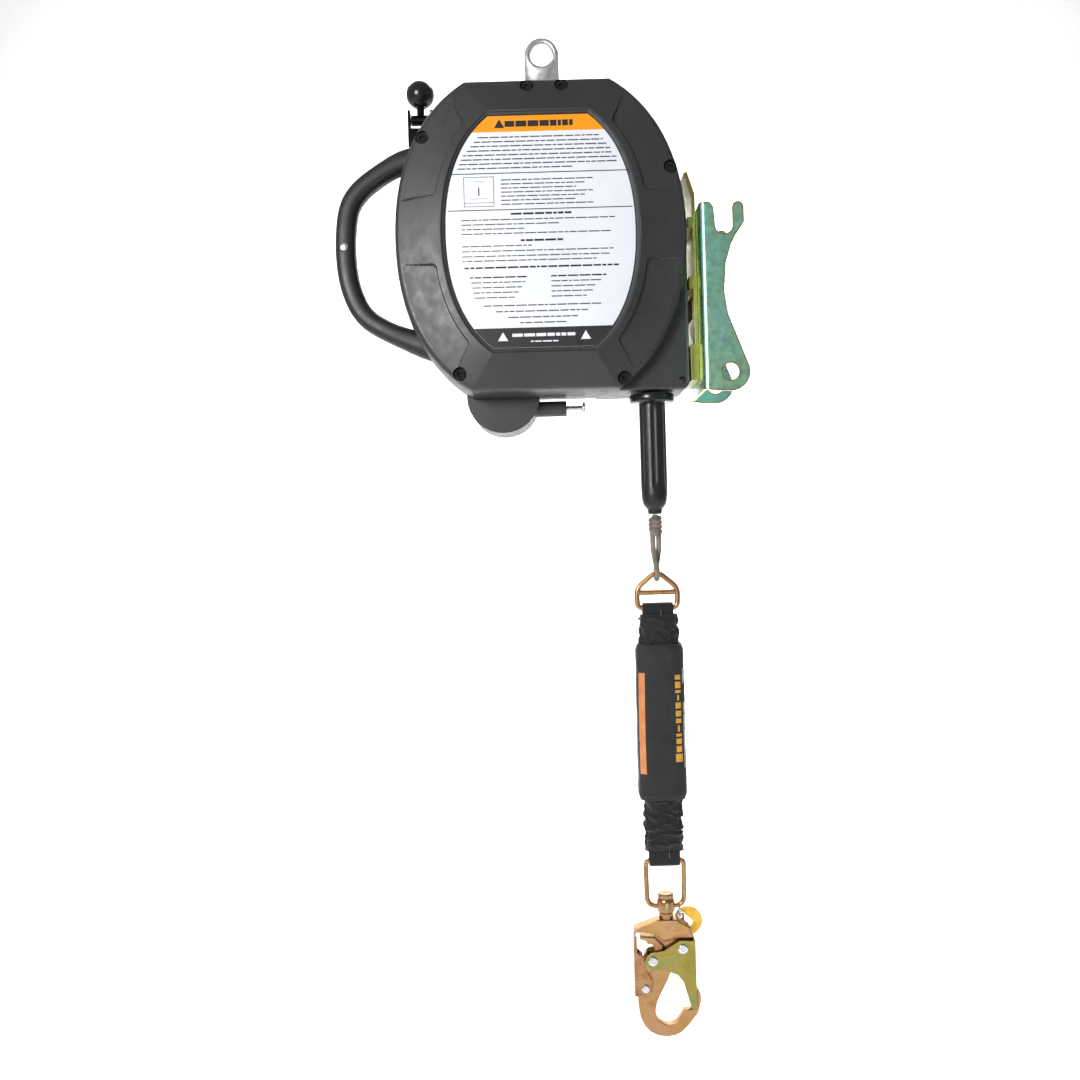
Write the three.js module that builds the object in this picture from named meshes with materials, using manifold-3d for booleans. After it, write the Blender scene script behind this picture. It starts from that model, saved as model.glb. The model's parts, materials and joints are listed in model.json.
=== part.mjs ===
// Self retracting lifeline with a retrieval crank, a side mounting bracket, an energy absorber and a
// swivel snap hook. Millimetres, +Z up, front face towards -Y. The origin is the centre of the
// anchorage eye that the whole device hangs from.
import * as THREE from 'three';
import { mergeVertices } from 'three/addons/utils/BufferGeometryUtils.js';
import Module from 'manifold-3d';

const wasm = await Module();
wasm.setup();

// ---- driving dimensions ----
const GAP = 0.3; // between touching pieces
const HOUSING = { x: -6, z: -215.4, halfWidth: 163, halfHeight: 173, bulge: 193, power: 2.2 };
const WALL = 3.5;
const FRONT_RIM_Y = -44;
const FRONT_FACE_Y = -55;
const LABEL = { halfWidth: 104.5, halfHeight: 127.5, bulge: 144.5, recess: 3 };
const BACK_Y = 55;
const BLOCK = { left: 60, right: 162, bottom: -171.5, top: 0, frontY: -25, corner: 10 };
const CASE_BOLTS = [[-11, 162.5], [27, 162.5], [-127.5, 109], [144, 70], [-93, -151.5], [87.5, -160.5]];
const POST = 7.2; // screw post radius inside the covers
const EYE = { hole: 12.5, outer: 19.5, thick: 12 };
const ROPE_D = 6;
const LINE_X = 121; // from the housing axis, equal to the drum's winding radius
const WINDING = { inner: 82, outer: LINE_X + ROPE_D / 2, halfWidth: 9.4 };
const FLANGE = { radius: 133, thick: 3 };
const GEAR_MODULE = 5;
const DRUM_TEETH = 59;
const PINION_TEETH = 12;
const CRANK_DISTANCE = (GEAR_MODULE * (DRUM_TEETH + PINION_TEETH)) / 2;
const CRANK_X = -48.3;
const CRANK_Z = -Math.sqrt(CRANK_DISTANCE ** 2 - CRANK_X ** 2);
const GEAR_CASE = { radius: 41.5, frontY: 3, backY: 60 };
const ARM = { topX: -142, topZ: 186, bendZ: 60, width: 30, depth: 15, sheet: 3, frontY: 63 };
const KNOB = { radius: 17, pivotZ: 176, centreZ: 207.3 };
const LINE = { coverTop: -673, coverBottom: -848 };
const STRAP = { width: 35 };
const HOOK_TOP = -995;

// ---- geometry helpers ----
const indexed = (geometry) => {
  const source = geometry.clone();
  source.deleteAttribute('normal');
  source.deleteAttribute('uv');
  return mergeVertices(source, 1e-4);
};

// A closed geometry as a manifold solid, without the zero-area triangles at a lathe's poles.
const solid = (geometry) => {
  if (geometry.getMesh) return geometry;
  const merged = indexed(geometry);
  const corners = [];
  for (let i = 0; i < merged.index.count; i += 3) {
    const [a, b, c] = [0, 1, 2].map((k) => merged.index.getX(i + k));
    if (a !== b && b !== c && c !== a) corners.push(a, b, c);
  }
  return new wasm.Manifold(new wasm.Mesh({
    numProp: 3,
    vertProperties: new Float32Array(merged.attributes.position.array),
    triVerts: new Uint32Array(corners),
  }));
};

const toGeometry = (shape) => {
  if (shape.isBufferGeometry) return shape;
  const mesh = shape.simplify(0.01).getMesh(); // drops slivers that would close up when rounded
  const geometry = new THREE.BufferGeometry();
  geometry.setAttribute('position', new THREE.BufferAttribute(new Float32Array(mesh.vertProperties), 3));
  geometry.setIndex(new THREE.BufferAttribute(new Uint32Array(mesh.triVerts), 1));
  geometry.computeVertexNormals();
  return geometry;
};

const cut = (base, ...tools) => tools.reduce((body, tool) => body.subtract(solid(tool)), solid(base));
const join = (...pieces) => pieces.slice(1).reduce((body, piece) => body.add(solid(piece)), solid(pieces[0]));

const shapeOf = (points, holes = []) => {
  const shape = new THREE.Shape(points.map(([x, z]) => new THREE.Vector2(x, z)));
  shape.holes = holes.map((hole) => new THREE.Path(hole.map(([x, z]) => new THREE.Vector2(x, z))));
  return shape;
};

const circle = (x, z, radius, sides = 24) => Array.from({ length: sides }, (_, i) => {
  const angle = (i / sides) * 2 * Math.PI;
  return [x + radius * Math.cos(angle), z + radius * Math.sin(angle)];
});

// Points on an arc about (x, z), angles in degrees from +X towards +Z.
const arc = (x, z, radius, from, to, steps = 6) => Array.from({ length: steps + 1 }, (_, i) => {
  const angle = ((from + ((to - from) * i) / steps) * Math.PI) / 180;
  return [x + radius * Math.cos(angle), z + radius * Math.sin(angle)];
});

// An outline in X and Z pushed from y0 to y1, with an optional chamfer on both faces.
const plate = (points, y0, y1, holes = [], chamfer = 0) => {
  const geometry = new THREE.ExtrudeGeometry(shapeOf(points, holes), {
    depth: y1 - y0 - 2 * chamfer,
    bevelEnabled: chamfer > 0,
    bevelThickness: chamfer,
    bevelSize: chamfer,
    bevelOffset: -chamfer,
    bevelSegments: 1,
    curveSegments: 8,
  });
  return geometry.translate(0, 0, chamfer - y1).rotateX(Math.PI / 2);
};

const box = (x0, x1, y0, y1, z0, z1) => new THREE.BoxGeometry(x1 - x0, y1 - y0, z1 - z0)
  .translate((x0 + x1) / 2, (y0 + y1) / 2, (z0 + z1) / 2);

// A profile of [radius, height] pairs, run anticlockwise, turned about Y.
const turned = (profile, sides = 24) =>
  new THREE.LatheGeometry(profile.map(([r, h]) => new THREE.Vector2(r, h)), sides);
const alongY = (profile, x, z, sides) => turned(profile, sides).translate(x, 0, z);
const alongZ = (profile, x, y, sides) => turned(profile, sides).rotateX(Math.PI / 2).translate(x, y, 0);
const alongX = (profile, y, z, sides) => turned(profile, sides).rotateZ(-Math.PI / 2).translate(0, y, z);
const rod = (radius, from, to) => [[0, from], [radius, from], [radius, to], [0, to]];
const pipe = (inner, outer, from, to) =>
  [[inner, from], [outer, from], [outer, to], [inner, to], [inner, from]];
const pinY = (radius, y0, y1, x, z, sides = 20) => alongY(rod(radius, y0, y1), x, z, sides);

// A closed skin through rings of the same number of points, each ring {y, points}, capped at both ends.
const loft = (rings) => {
  const count = rings[0].points.length;
  const positions = rings.flatMap(({ y, points }) => points.flatMap(([x, z]) => [x, y, z]));
  const index = [];
  for (let level = 0; level + 1 < rings.length; level += 1) {
    for (let i = 0; i < count; i += 1) {
      const a = level * count + i;
      const b = level * count + ((i + 1) % count);
      index.push(a, b, b + count, a, b + count, a + count);
    }
  }
  const cap = THREE.ShapeUtils.triangulateShape(rings[0].points.map(([x, z]) => new THREE.Vector2(x, z)), []);
  const last = (rings.length - 1) * count;
  const lastCap = THREE.ShapeUtils.triangulateShape(
    rings.at(-1).points.map(([x, z]) => new THREE.Vector2(x, z)), []);
  cap.forEach(([a, b, c]) => index.push(a, c, b));
  lastCap.forEach(([a, b, c]) => index.push(last + a, last + b, last + c));
  const geometry = new THREE.BufferGeometry();
  geometry.setAttribute('position', new THREE.Float32BufferAttribute(positions, 3));
  geometry.setIndex(index);
  return geometry;
};

// A tube of round section along an open list of points.
const sweep = (points, radius, steps, sides = 8, curveType = 'centripetal') => {
  const path = new THREE.CatmullRomCurve3(points.map((p) => new THREE.Vector3(...p)), false, curveType);
  return new THREE.ExtrudeGeometry(shapeOf(circle(0, 0, radius, sides)), {
    steps, extrudePath: path, bevelEnabled: false,
  });
};

// A spur gear with straight-flanked teeth.
const gearOutline = (teeth, module) => {
  const pitch = (teeth * module) / 2;
  const step = (2 * Math.PI) / teeth;
  const corners = [[-0.32, -1.2], [-0.14, 0.95], [0.14, 0.95], [0.32, -1.2]];
  return Array.from({ length: teeth }, (_, i) => corners.map(([turn, height]) => {
    const angle = (i + turn) * step;
    const radius = pitch + height * module;
    return [radius * Math.cos(angle), radius * Math.sin(angle)];
  })).flat();
};

// ---- materials ----
const material = (color, roughness, metalness) =>
  new THREE.MeshStandardMaterial({ color, roughness, metalness });
const cover = () => material(0x3c3c3d, 0.55, 0);
const blackSteel = () => material(0x1c1d1f, 0.45, 0.3);
const rubber = () => material(0x2b2c2e, 0.6, 0);
const zinc = () => material(0xc8a264, 0.35, 0.9);
const brightSteel = () => material(0xd6d6d4, 0.3, 0.9);
const cast = () => material(0x8e9092, 0.6, 0.6);
const fabric = () => material(0x2a2b2d, 0.9, 0);
const rope = () => material(0x6d665c, 0.9, 0);

const named = (name, shape, surface) => {
  const mesh = new THREE.Mesh(toGeometry(shape), surface);
  mesh.name = name;
  return mesh;
};

// ---- housing ----
// Superellipse sides cut flat at the top and bottom, with the same number of points at every inset.
const shellOutline = ({ halfWidth, bulge, halfHeight }, inset = 0, steps = 12) => {
  const top = halfHeight - inset;
  const side = Array.from({ length: steps + 1 }, (_, i) => {
    const z = top * Math.sin((i / steps - 0.5) * Math.PI);
    const share = 1 - Math.abs(z / (bulge - inset)) ** HOUSING.power;
    return [(halfWidth - inset) * share ** (1 / HOUSING.power), z];
  });
  return [...side, ...side.map(([x, z]) => [-x, -z])];
};
const housingAt = (inset) => shellOutline(HOUSING, inset);
const labelAt = (inset) => shellOutline(LABEL, inset);
const blockAt = (inset) => [
  [BLOCK.left, BLOCK.bottom + inset],
  ...arc(BLOCK.right - BLOCK.corner, BLOCK.bottom + BLOCK.corner, BLOCK.corner - inset, -90, 0, 4),
  [BLOCK.right - inset, BLOCK.top], [BLOCK.left, BLOCK.top],
];
const hole = ([x, z], radius, y0, y1) => pinY(radius, y0, y1, x, z, 12);

// Outer forms of the two shells; a negative inset gives the clearance that neighbours keep.
const frontForm = (grow = 0) => solid(loft([
  { y: grow ? grow : -GAP / 2, points: housingAt(-grow) }, { y: FRONT_RIM_Y + 5, points: housingAt(-grow) },
  { y: FRONT_RIM_Y, points: housingAt(5 - grow) }, { y: FRONT_FACE_Y, points: labelAt(-5 - grow) },
])).add(solid(plate(blockAt(-grow), BLOCK.frontY, grow ? grow : -GAP / 2)));
const backForm = (grow = 0) => solid(loft([
  { y: BACK_Y + grow, points: housingAt(16 - grow) }, { y: BACK_Y - 4, points: housingAt(7 - grow) },
  { y: 38, points: housingAt(2 - grow) }, { y: grow ? -grow : GAP / 2, points: housingAt(-grow) },
])).add(solid(plate(blockAt(-grow), grow ? -grow : GAP / 2, 46)));

const lineBore = () => alongZ(rod(11, -190, -150), LINE_X, 0, 24);
const eyeSlot = () => box(-14.5, 26.5, -6.6, 6.6, 155, 190);

function frontCover() {
  const inside = loft([
    { y: 1, points: housingAt(WALL) }, { y: FRONT_RIM_Y + 7, points: housingAt(WALL) },
    { y: FRONT_RIM_Y + 3, points: housingAt(8.5) }, { y: FRONT_FACE_Y + 6.5, points: labelAt(-3) },
  ]);
  const hollow = CASE_BOLTS.reduce((body, at, i) => body
    .subtract(solid(hole(at, 11, -60, -34)))
    .subtract(solid(hole(at, POST, -40, i < 2 ? -19.5 : 2))), solid(inside));
  const shell = frontForm().subtract(hollow).subtract(solid(plate(blockAt(WALL), BLOCK.frontY + WALL, 1)))
    .subtract(solid(plate(labelAt(0), -60, FRONT_FACE_Y + LABEL.recess)))
    .subtract(solid(lineBore())).subtract(solid(eyeSlot()));
  return CASE_BOLTS.reduce((body, at) => body
    .subtract(solid(hole(at, 3.4, -60, 1))).subtract(solid(hole(at, 8, -60, -38))), shell);
}

function rearCover() {
  const inside = loft([
    { y: BACK_Y - WALL, points: housingAt(18) }, { y: BACK_Y - 7, points: housingAt(10) },
    { y: 36, points: housingAt(2 + WALL) }, { y: -1, points: housingAt(WALL) },
  ]);
  const hollow = CASE_BOLTS.reduce((body, at, i) =>
    body.subtract(solid(hole(at, POST, i < 2 ? 26.5 : -2, 60))), solid(inside));
  const shell = backForm().subtract(hollow).subtract(solid(plate(blockAt(WALL), -1, 46 - WALL)))
    .subtract(solid(lineBore())).subtract(solid(eyeSlot()))
    .subtract(solid(box(CRANK_X - 35, CRANK_X + 35, 9, 50, -180, -150)))
    .subtract(solid(pinY(9, 20, 60, CRANK_X, CRANK_Z)));
  return CASE_BOLTS.reduce((body, at) => body.subtract(solid(hole(at, 3.4, -2, 36))), shell);
}

const caseBolt = (at) => join(hole(at, 6.5, -44.3, -38.3), hole(at, 3, -38.4, 34));

const housing = new THREE.Group();
housing.position.set(HOUSING.x, 0, HOUSING.z);
housing.add(
  named('front_cover', frontCover(), cover()),
  named('rear_cover', rearCover(), cover()),
  named('label_plate', plate(labelAt(1.2), FRONT_FACE_Y + 1.4, FRONT_FACE_Y + LABEL.recess - GAP),
    material(0xe8eaee, 0.5, 0)),
  ...CASE_BOLTS.map((at, i) => named(`case_bolt_${i + 1}`, caseBolt(at), blackSteel())),
);

// ---- load-bearing frame, shaft and drum ----
function anchorEye() {
  const x = -HOUSING.x;
  const z = -HOUSING.z;
  const outline = [[x + EYE.outer, 169], ...arc(x, z, EYE.outer, 0, 180, 12), [x - EYE.outer, 169],
    [-27, 169], [-27, 146], [43, 146], [43, 169]];
  const lug = plate(outline, -EYE.thick / 2, EYE.thick / 2, [circle(x, z, EYE.hole, 20)], 1.5);
  return CASE_BOLTS.slice(0, 2).reduce((body, at) => body.subtract(solid(hole(at, 3.4, -30, 30))),
    join(lug, ...CASE_BOLTS.slice(0, 2).map((at) => hole(at, 5, -15.7, 22.7))));
}
function framePlate(y0, y1) {
  const outline = [...arc(0, 0, 48, 200, 340, 8), [40, 60], [44, 167.4], [-28, 167.4], [-40, 60]];
  const bores = [circle(0, 0, 17, 24), ...CASE_BOLTS.slice(0, 2).map(([x, z]) => circle(x, z, 3.4, 12))];
  return plate(outline, y0, y1, bores);
}
function ropeDrum() {
  const { inner, halfWidth } = WINDING;
  const inside = halfWidth + 0.4;
  const outside = inside + FLANGE.thick;
  const rim = FLANGE.radius;
  return alongY([[12.3, -outside], [30, -outside], [30, -inside], [58, -inside], [58, -outside],
    [rim, -outside], [rim, -inside], [inner, -inside], [inner, inside], [rim, inside], [rim, outside],
    [58, outside], [58, inside], [30, inside], [30, outside], [12.3, outside], [12.3, -outside]], 0, 0, 30);
}
function woundRope() {
  const { inner, outer, halfWidth } = WINDING;
  return alongY(pipe(inner + GAP, outer - ROPE_D - GAP, -halfWidth, halfWidth), 0, 0, 30);
}
function drumGear() {
  const spokes = [0, 1, 2, 3, 4].map((i) => circle(
    100 * Math.cos((i * 2 * Math.PI) / 5), 100 * Math.sin((i * 2 * Math.PI) / 5), 26, 12));
  return plate(gearOutline(DRUM_TEETH, GEAR_MODULE), 13.3, 19.3, [circle(0, 0, 12.3, 24), ...spokes]);
}
function powerSpring(turns = 5, inner = 19, outer = 66, thick = 3) {
  const steps = turns * 16;
  const side = (offset) => Array.from({ length: steps + 1 }, (_, i) => {
    const angle = (i / 16) * 2 * Math.PI;
    const radius = inner + ((outer - inner) * i) / steps + offset;
    return [radius * Math.cos(angle), radius * Math.sin(angle)];
  });
  return plate([...side(0), ...side(thick).reverse()], 30, 45);
}
function ratchetRing(teeth = 12, tip = 64.5, root = 69) {
  const inside = Array.from({ length: teeth }, (_, i) => [[tip, 0], [root, 0.04], [root, 0.6]]
    .map(([radius, share]) => {
      const angle = ((i + share) / teeth) * 2 * Math.PI;
      return [radius * Math.cos(angle), radius * Math.sin(angle)];
    })).flat();
  return plate(circle(0, 0, 76, 36), -33, -19.3, [inside]);
}
function pawl(pivotAngle) {
  const outline = [...arc(42, 0, 8, 120, 300, 6), [52, 6], [58, 16], [57, 22], [50, 17]];
  return plate(outline, -31.5, -26.3, [circle(42, 0, 3.3, 12)]).rotateY(-pivotAngle);
}
const brakeHub = () => cut(join(alongY(pipe(12.3, 60, -26, -22.5), 0, 0, 36),
  pinY(3, -33, -25, 42, 0), pinY(3, -33, -25, -42, 0)), pinY(12.3, -40, 0, 0, 0));

const drive = new THREE.Group();
drive.position.copy(housing.position);
drive.add(
  named('anchor_eye', anchorEye(), brightSteel()),
  named('front_frame_plate', framePlate(-19, -16), zinc()),
  named('rear_frame_plate', framePlate(23, 26), zinc()),
  named('main_shaft', pinY(12, -44, 47, 0, 0, 24), brightSteel()),
  named('front_bearing', alongY(pipe(12.3, 16.7, -19, -16), 0, 0, 24), material(0xb08d4a, 0.4, 0.8)),
  named('rear_bearing', alongY(pipe(12.3, 16.7, 23, 26), 0, 0, 24), material(0xb08d4a, 0.4, 0.8)),
  named('rope_drum', ropeDrum(), cast()),
  named('wound_rope', woundRope(), rope()),
  named('drum_gear', drumGear(), cast()),
  named('spring_case', alongY([[20, 46], [20, 48], [74, 48], [74, 26.3], [71, 26.3], [71, 46], [20, 46]].reverse(),
    0, 0, 32), zinc()),
  named('power_spring', powerSpring(), brightSteel()),
  named('ratchet_ring', ratchetRing(), cast()),
  named('brake_hub', brakeHub(), cast()),
  named('brake_pawl_1', pawl(0), brightSteel()),
  named('brake_pawl_2', pawl(Math.PI), brightSteel()),
);

// ---- retrieval gear case, crank and carry handle ----
function gearCase() {
  const { radius, frontY, backY } = GEAR_CASE;
  const inside = pinY(radius - WALL, frontY + WALL, backY - WALL, CRANK_X, CRANK_Z, 32);
  const boss = alongX(rod(9, CRANK_X + 20, 24), 22, -184, 20);
  return join(pinY(radius, frontY, backY, CRANK_X, CRANK_Z, 32), boss).subtract(solid(inside))
    .subtract(backForm(GAP)).subtract(frontForm(GAP))
    .subtract(solid(pinY(7, 40, 70, CRANK_X, CRANK_Z)))
    .subtract(solid(alongX(rod(3.4, -40, 40), 22, -184, 16)));
}
const crankShaft = () => join(pinY(6.5, 40, 81, CRANK_X, CRANK_Z), pinY(5, 22, 41, CRANK_X, CRANK_Z));
const crankPinion = () => plate(gearOutline(PINION_TEETH, GEAR_MODULE), 23, 32, [circle(0, 0, 5.3, 16)])
  .translate(CRANK_X, 0, CRANK_Z);
const shiftPlunger = () => alongX([[0, -14], [3, -14], [3, 42], [7, 43], [7, 45.5], [0, 45.5]], 22, -184, 20);

// A channel that rises at a slant from the hub and stands upright at its upper end.
function crankArm() {
  const { topX, topZ, bendZ, width, depth, sheet, frontY } = ARM;
  const middle = (half) => [
    [CRANK_X + half, CRANK_Z], [topX + half, bendZ], [topX + half, topZ],
    [topX - half, topZ], [topX - half, bendZ], [CRANK_X - half, CRANK_Z]];
  const body = join(plate(middle(width / 2), frontY, frontY + depth),
    pinY(width / 2 + 2, frontY, frontY + depth, CRANK_X, CRANK_Z, 24));
  const trough = plate(middle(width / 2 - sheet), frontY + sheet, frontY + depth + 1);
  const bend = [topX, 0, topZ + 14];
  return body.subtract(solid(trough).subtract(solid(pinY(16, 60, 90, CRANK_X, CRANK_Z, 24))))
    .subtract(solid(box(topX - 12, topX + 12, frontY - 1, frontY + sheet + 1, KNOB.pivotZ - 12, topZ + 2)))
    .subtract(solid(pinY(14, frontY - 1, frontY + depth + 2, bend[0], bend[2], 20)))
    .subtract(solid(pinY(6.8, frontY - 1, frontY + depth + 1, CRANK_X, CRANK_Z)))
    .subtract(solid(alongX(rod(3.3, topX - 20, topX + 20), frontY + depth / 2 + 1, KNOB.pivotZ, 12)));
}
const knobY = ARM.frontY + ARM.depth / 2 + 1;
function foldingStem() {
  const stem = alongZ(rod(4.5, KNOB.pivotZ, KNOB.centreZ + 8), ARM.topX, knobY, 16);
  const eye = alongX(rod(6.2, ARM.topX - 11, ARM.topX + 11), knobY, KNOB.pivotZ, 16);
  const bore = alongX(rod(3.3, ARM.topX - 20, ARM.topX + 20), knobY, KNOB.pivotZ, 12);
  return join(stem, eye).subtract(solid(bore));
}
const knobPin = () => alongX(rod(3, ARM.topX - 15, ARM.topX + 15), knobY, KNOB.pivotZ, 12);
function ballKnob() {
  const { radius, centreZ } = KNOB;
  const ball = Array.from({ length: 9 }, (_, i) => {
    const angle = (-68 + (i * 158) / 8) * (Math.PI / 180);
    return [radius * Math.cos(angle), centreZ + radius * Math.sin(angle)];
  });
  ball[8][0] = 0;
  return alongZ([[4.8, centreZ - 15.8], ...ball, [0, centreZ + 8.3], [4.8, centreZ + 8.3],
    [4.8, centreZ - 15.8]], ARM.topX, knobY, 16);
}
const hubNut = () => plate(circle(CRANK_X, CRANK_Z, 11, 6), 78.3, 84, [circle(CRANK_X, CRANK_Z, 6.9, 16)]);

function carryHandle() {
  const route = [[-138, 0, 101], [-158, 0, 97], [-182, 0, 84], [-205, 0, 66], [-218, 0, 44], [-222.5, 0, 5],
    [-220, 0, -33], [-211, 0, -62], [-198, 0, -80], [-178, 0, -93], [-156, 0, -102], [-138, 0, -107]];
  const pads = [[-146, 99], [-144, -106]].map(([x, z]) => pinY(17, -13, 13, x, z, 20));
  return join(sweep(route, 11.5, 30, 10), ...pads).subtract(frontForm(GAP)).subtract(backForm(GAP));
}

const retrieval = new THREE.Group();
retrieval.position.copy(housing.position);
retrieval.add(
  named('gear_case', gearCase(), cover()),
  named('crank_shaft', crankShaft(), brightSteel()),
  named('crank_pinion', crankPinion(), brightSteel()),
  named('shift_plunger', shiftPlunger(), brightSteel()),
  named('crank_arm', crankArm(), blackSteel()),
  named('crank_hub_nut', hubNut(), blackSteel()),
  named('knob_stem', foldingStem(), blackSteel()),
  named('knob_pivot_pin', knobPin(), brightSteel()),
  named('ball_knob', ballKnob(), material(0x17181a, 0.3, 0)),
  named('carry_handle', carryHandle(), cover()),
);

// ---- side mounting bracket ----
const BRACKET = { web: 173, sheet: 4, frontY: -54, backY: 54, top: 27, bottom: -176, plateX: 163.5 };
const PIN_HOLE = { x: 202.5, z: -158, radius: 9.5, lobe: 21 };
const NOTCH = { x: 199, z: 1, radius: 9.5 };
const bracketFlange = (y0, y1) => {
  const { web, top, bottom } = BRACKET;
  const outline = [[web, bottom], [web + 12, bottom - 2],
    ...arc(PIN_HOLE.x, PIN_HOLE.z, PIN_HOLE.lobe, 265, 375, 7),
    [211, -120], [201, -95], [197.5, -70], [200, -40], [206, -20], [212, -9], [221, 4], [221, 20],
    ...arc(214.7, 20.5, 6.3, 10, 180, 5), [NOTCH.x + NOTCH.radius, NOTCH.z],
    ...arc(NOTCH.x, NOTCH.z, NOTCH.radius, -15, -170, 6), [188, 21], [184, top], [web, top]];
  return plate(outline, y0, y1, [circle(PIN_HOLE.x, PIN_HOLE.z, PIN_HOLE.radius, 20)]);
};
function bracketChannel() {
  const { web, sheet, frontY, backY, top, bottom } = BRACKET;
  return join(box(web, web + sheet, frontY, backY, bottom, top),
    bracketFlange(frontY, frontY + sheet), bracketFlange(backY - sheet, backY));
}
function mountingPlate() {
  const { web, plateX } = BRACKET;
  const inner = web - GAP;
  const wall = box(inner - 4, inner, -24, 44, -162, 45);
  const feet = [[-162, -122], [-60, -46], [8, 20]].map(([z0, z1]) => box(plateX, inner - 1, -24, 44, z0, z1));
  const lip = plate([[inner - 4, 40], [inner, 40], [inner, 46], [inner - 8, 71], [inner - 12, 70]], -24, 44);
  return join(wall, ...feet, lip).subtract(solid(box(plateX - 1, web + 1, -10, 30, -90, -62)));
}
const bracketBolt = (z) => alongX(
  [[0, 165], [3.5, 165], [3.5, 177.3], [7, 177.3], [7, 182], [0, 182]], 30, z, 12);
const BRACKET_BOLTS = [14, -142];
const bracket = new THREE.Group();
bracket.position.copy(housing.position);
const drilled = (shape) => BRACKET_BOLTS.reduce((body, z) =>
  body.subtract(solid(alongX(rod(3.9, 155, 190), 30, z, 12))), solid(shape));
bracket.add(
  named('bracket_channel', drilled(bracketChannel()), zinc()),
  named('mounting_plate', drilled(mountingPlate()), zinc()),
  ...BRACKET_BOLTS.map((z, i) => named(`bracket_bolt_${i + 1}`, bracketBolt(z), brightSteel())),
);

// ---- lifeline, from the drum's edge to the tri-ring ----
const line = new THREE.Group();
line.position.set(HOUSING.x + LINE_X, 0, 0);
// Two strands side by side below the knot, turned front and back where they pass round the ring.
const EYE_ROUTE = [[-3.4, 0, -551], [-3.4, -0.4, -558], [-3.2, -2, -566], [-2, -4.6, -576], [-0.6, -6.4, -584],
  [0, -6.9, -590], [0, -5.6, -595.5], [0, -2.2, -598.6], [0, 2.2, -598.6], [0, 5.6, -595.5], [0, 6.9, -590],
  [0.6, 6.4, -584], [2, 4.6, -576], [3.2, 2, -566], [3.4, 0.4, -558], [3.4, 0, -551]];
const nozzle = () => alongZ([[9, -399], [25.5, -399], [25.5, -388.8], [10.6, -388.8], [10.6, -378],
  [9, -378], [9, -399]], 0, 0, 32);
const bumper = () => alongZ([[3.4, -525], [8, -525], [9.5, -519.5], [12.5, -517], [15, -510], [15, -399.4],
  [3.4, -399.4], [3.4, -525]], 0, 0, 24);
line.add(
  named('line_nozzle', nozzle(), material(0x101112, 0.25, 0)),
  named('bumper_sleeve', bumper(), rubber()),
  named('lifeline_rope', alongZ(rod(ROPE_D / 2, -525.4, HOUSING.z), 0, 0, 8), rope()),
  named('rope_knot', alongZ([[0, -550.7], [5, -550.5], [8, -544], [7.2, -538], [8.2, -532], [5, -526],
    [0, -525.7]], 0, 0, 16), rope()),
  named('rope_eye', sweep(EYE_ROUTE, ROPE_D / 2, 40, 8), rope()),
);

// ---- tri-ring, energy absorber and its straps ----
// An outline in Y and Z pushed across the width of a strap.
const acrossX = (points, x0, x1, holes = []) => plate(points, x0, x1, holes).rotateZ(Math.PI / 2);
const roundedBox = (halfX, halfY, corner) => [
  ...arc(halfX - corner, halfY - corner, corner, 0, 90, 3),
  ...arc(corner - halfX, halfY - corner, corner, 90, 180, 3),
  ...arc(corner - halfX, corner - halfY, corner, 180, 270, 3),
  ...arc(halfX - corner, corner - halfY, corner, 270, 360, 3)];
const upright = (points, z0, z1, holes = []) => new THREE.ExtrudeGeometry(shapeOf(points, holes),
  { depth: z1 - z0, bevelEnabled: false }).translate(0, 0, z0);

function triRing() {
  const outer = [[-25.5, -627], [-20, -635], [20, -635], [25.5, -627], [26, -612], [22, -606], [7, -588.6],
    [0, -586.5], [-7, -588.6], [-22, -606], [-26, -612]];
  const window = [[-19.5, -611.5], [-3.5, -593], [3.5, -593], [19.5, -611.5]];
  const slot = [[-18.8, -629], [-18.8, -617.5], [18.8, -617.5], [18.8, -629]];
  return plate(outer, -3, 3, [window, slot], 1.4);
}
// A strap doubled over a bar: the fold is at the bar, both legs run to z1.
function foldedStrap(barZ, z1) {
  const out = Math.sign(barZ - z1);
  const inner = 3.5;
  const outer = inner + 2.9;
  const half = (radius) => arc(0, barZ, radius, out > 0 ? 0 : 180, out > 0 ? 180 : 360, 8);
  const points = [[out > 0 ? outer : -outer, z1], ...half(outer), [out > 0 ? -outer : outer, z1],
    [out > 0 ? -inner : inner, z1], ...half(inner).reverse(), [out > 0 ? inner : -inner, z1]];
  return acrossX(points, -STRAP.width / 2, STRAP.width / 2);
}
function bail() {
  const outer = [...arc(-15, -965, 9, 180, 270, 3), ...arc(15, -965, 9, 270, 360, 3), [24, -925], [19.5, -917],
    [-19.5, -917], [-24, -925]];
  const inner = [
    [-18.4, -964], [-14.5, -968.2], [14.5, -968.2], [18.4, -964], [18.4, -922.8], [-18.4, -922.8]];
  const boss = alongZ(rod(10, -978, -962), 0, 0, 24);
  return cut(join(plate(outer, -2.9, 2.9, [inner], 1.2), boss), alongZ(rod(5.4, -990, -950), 0, 0, 20));
}
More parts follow.
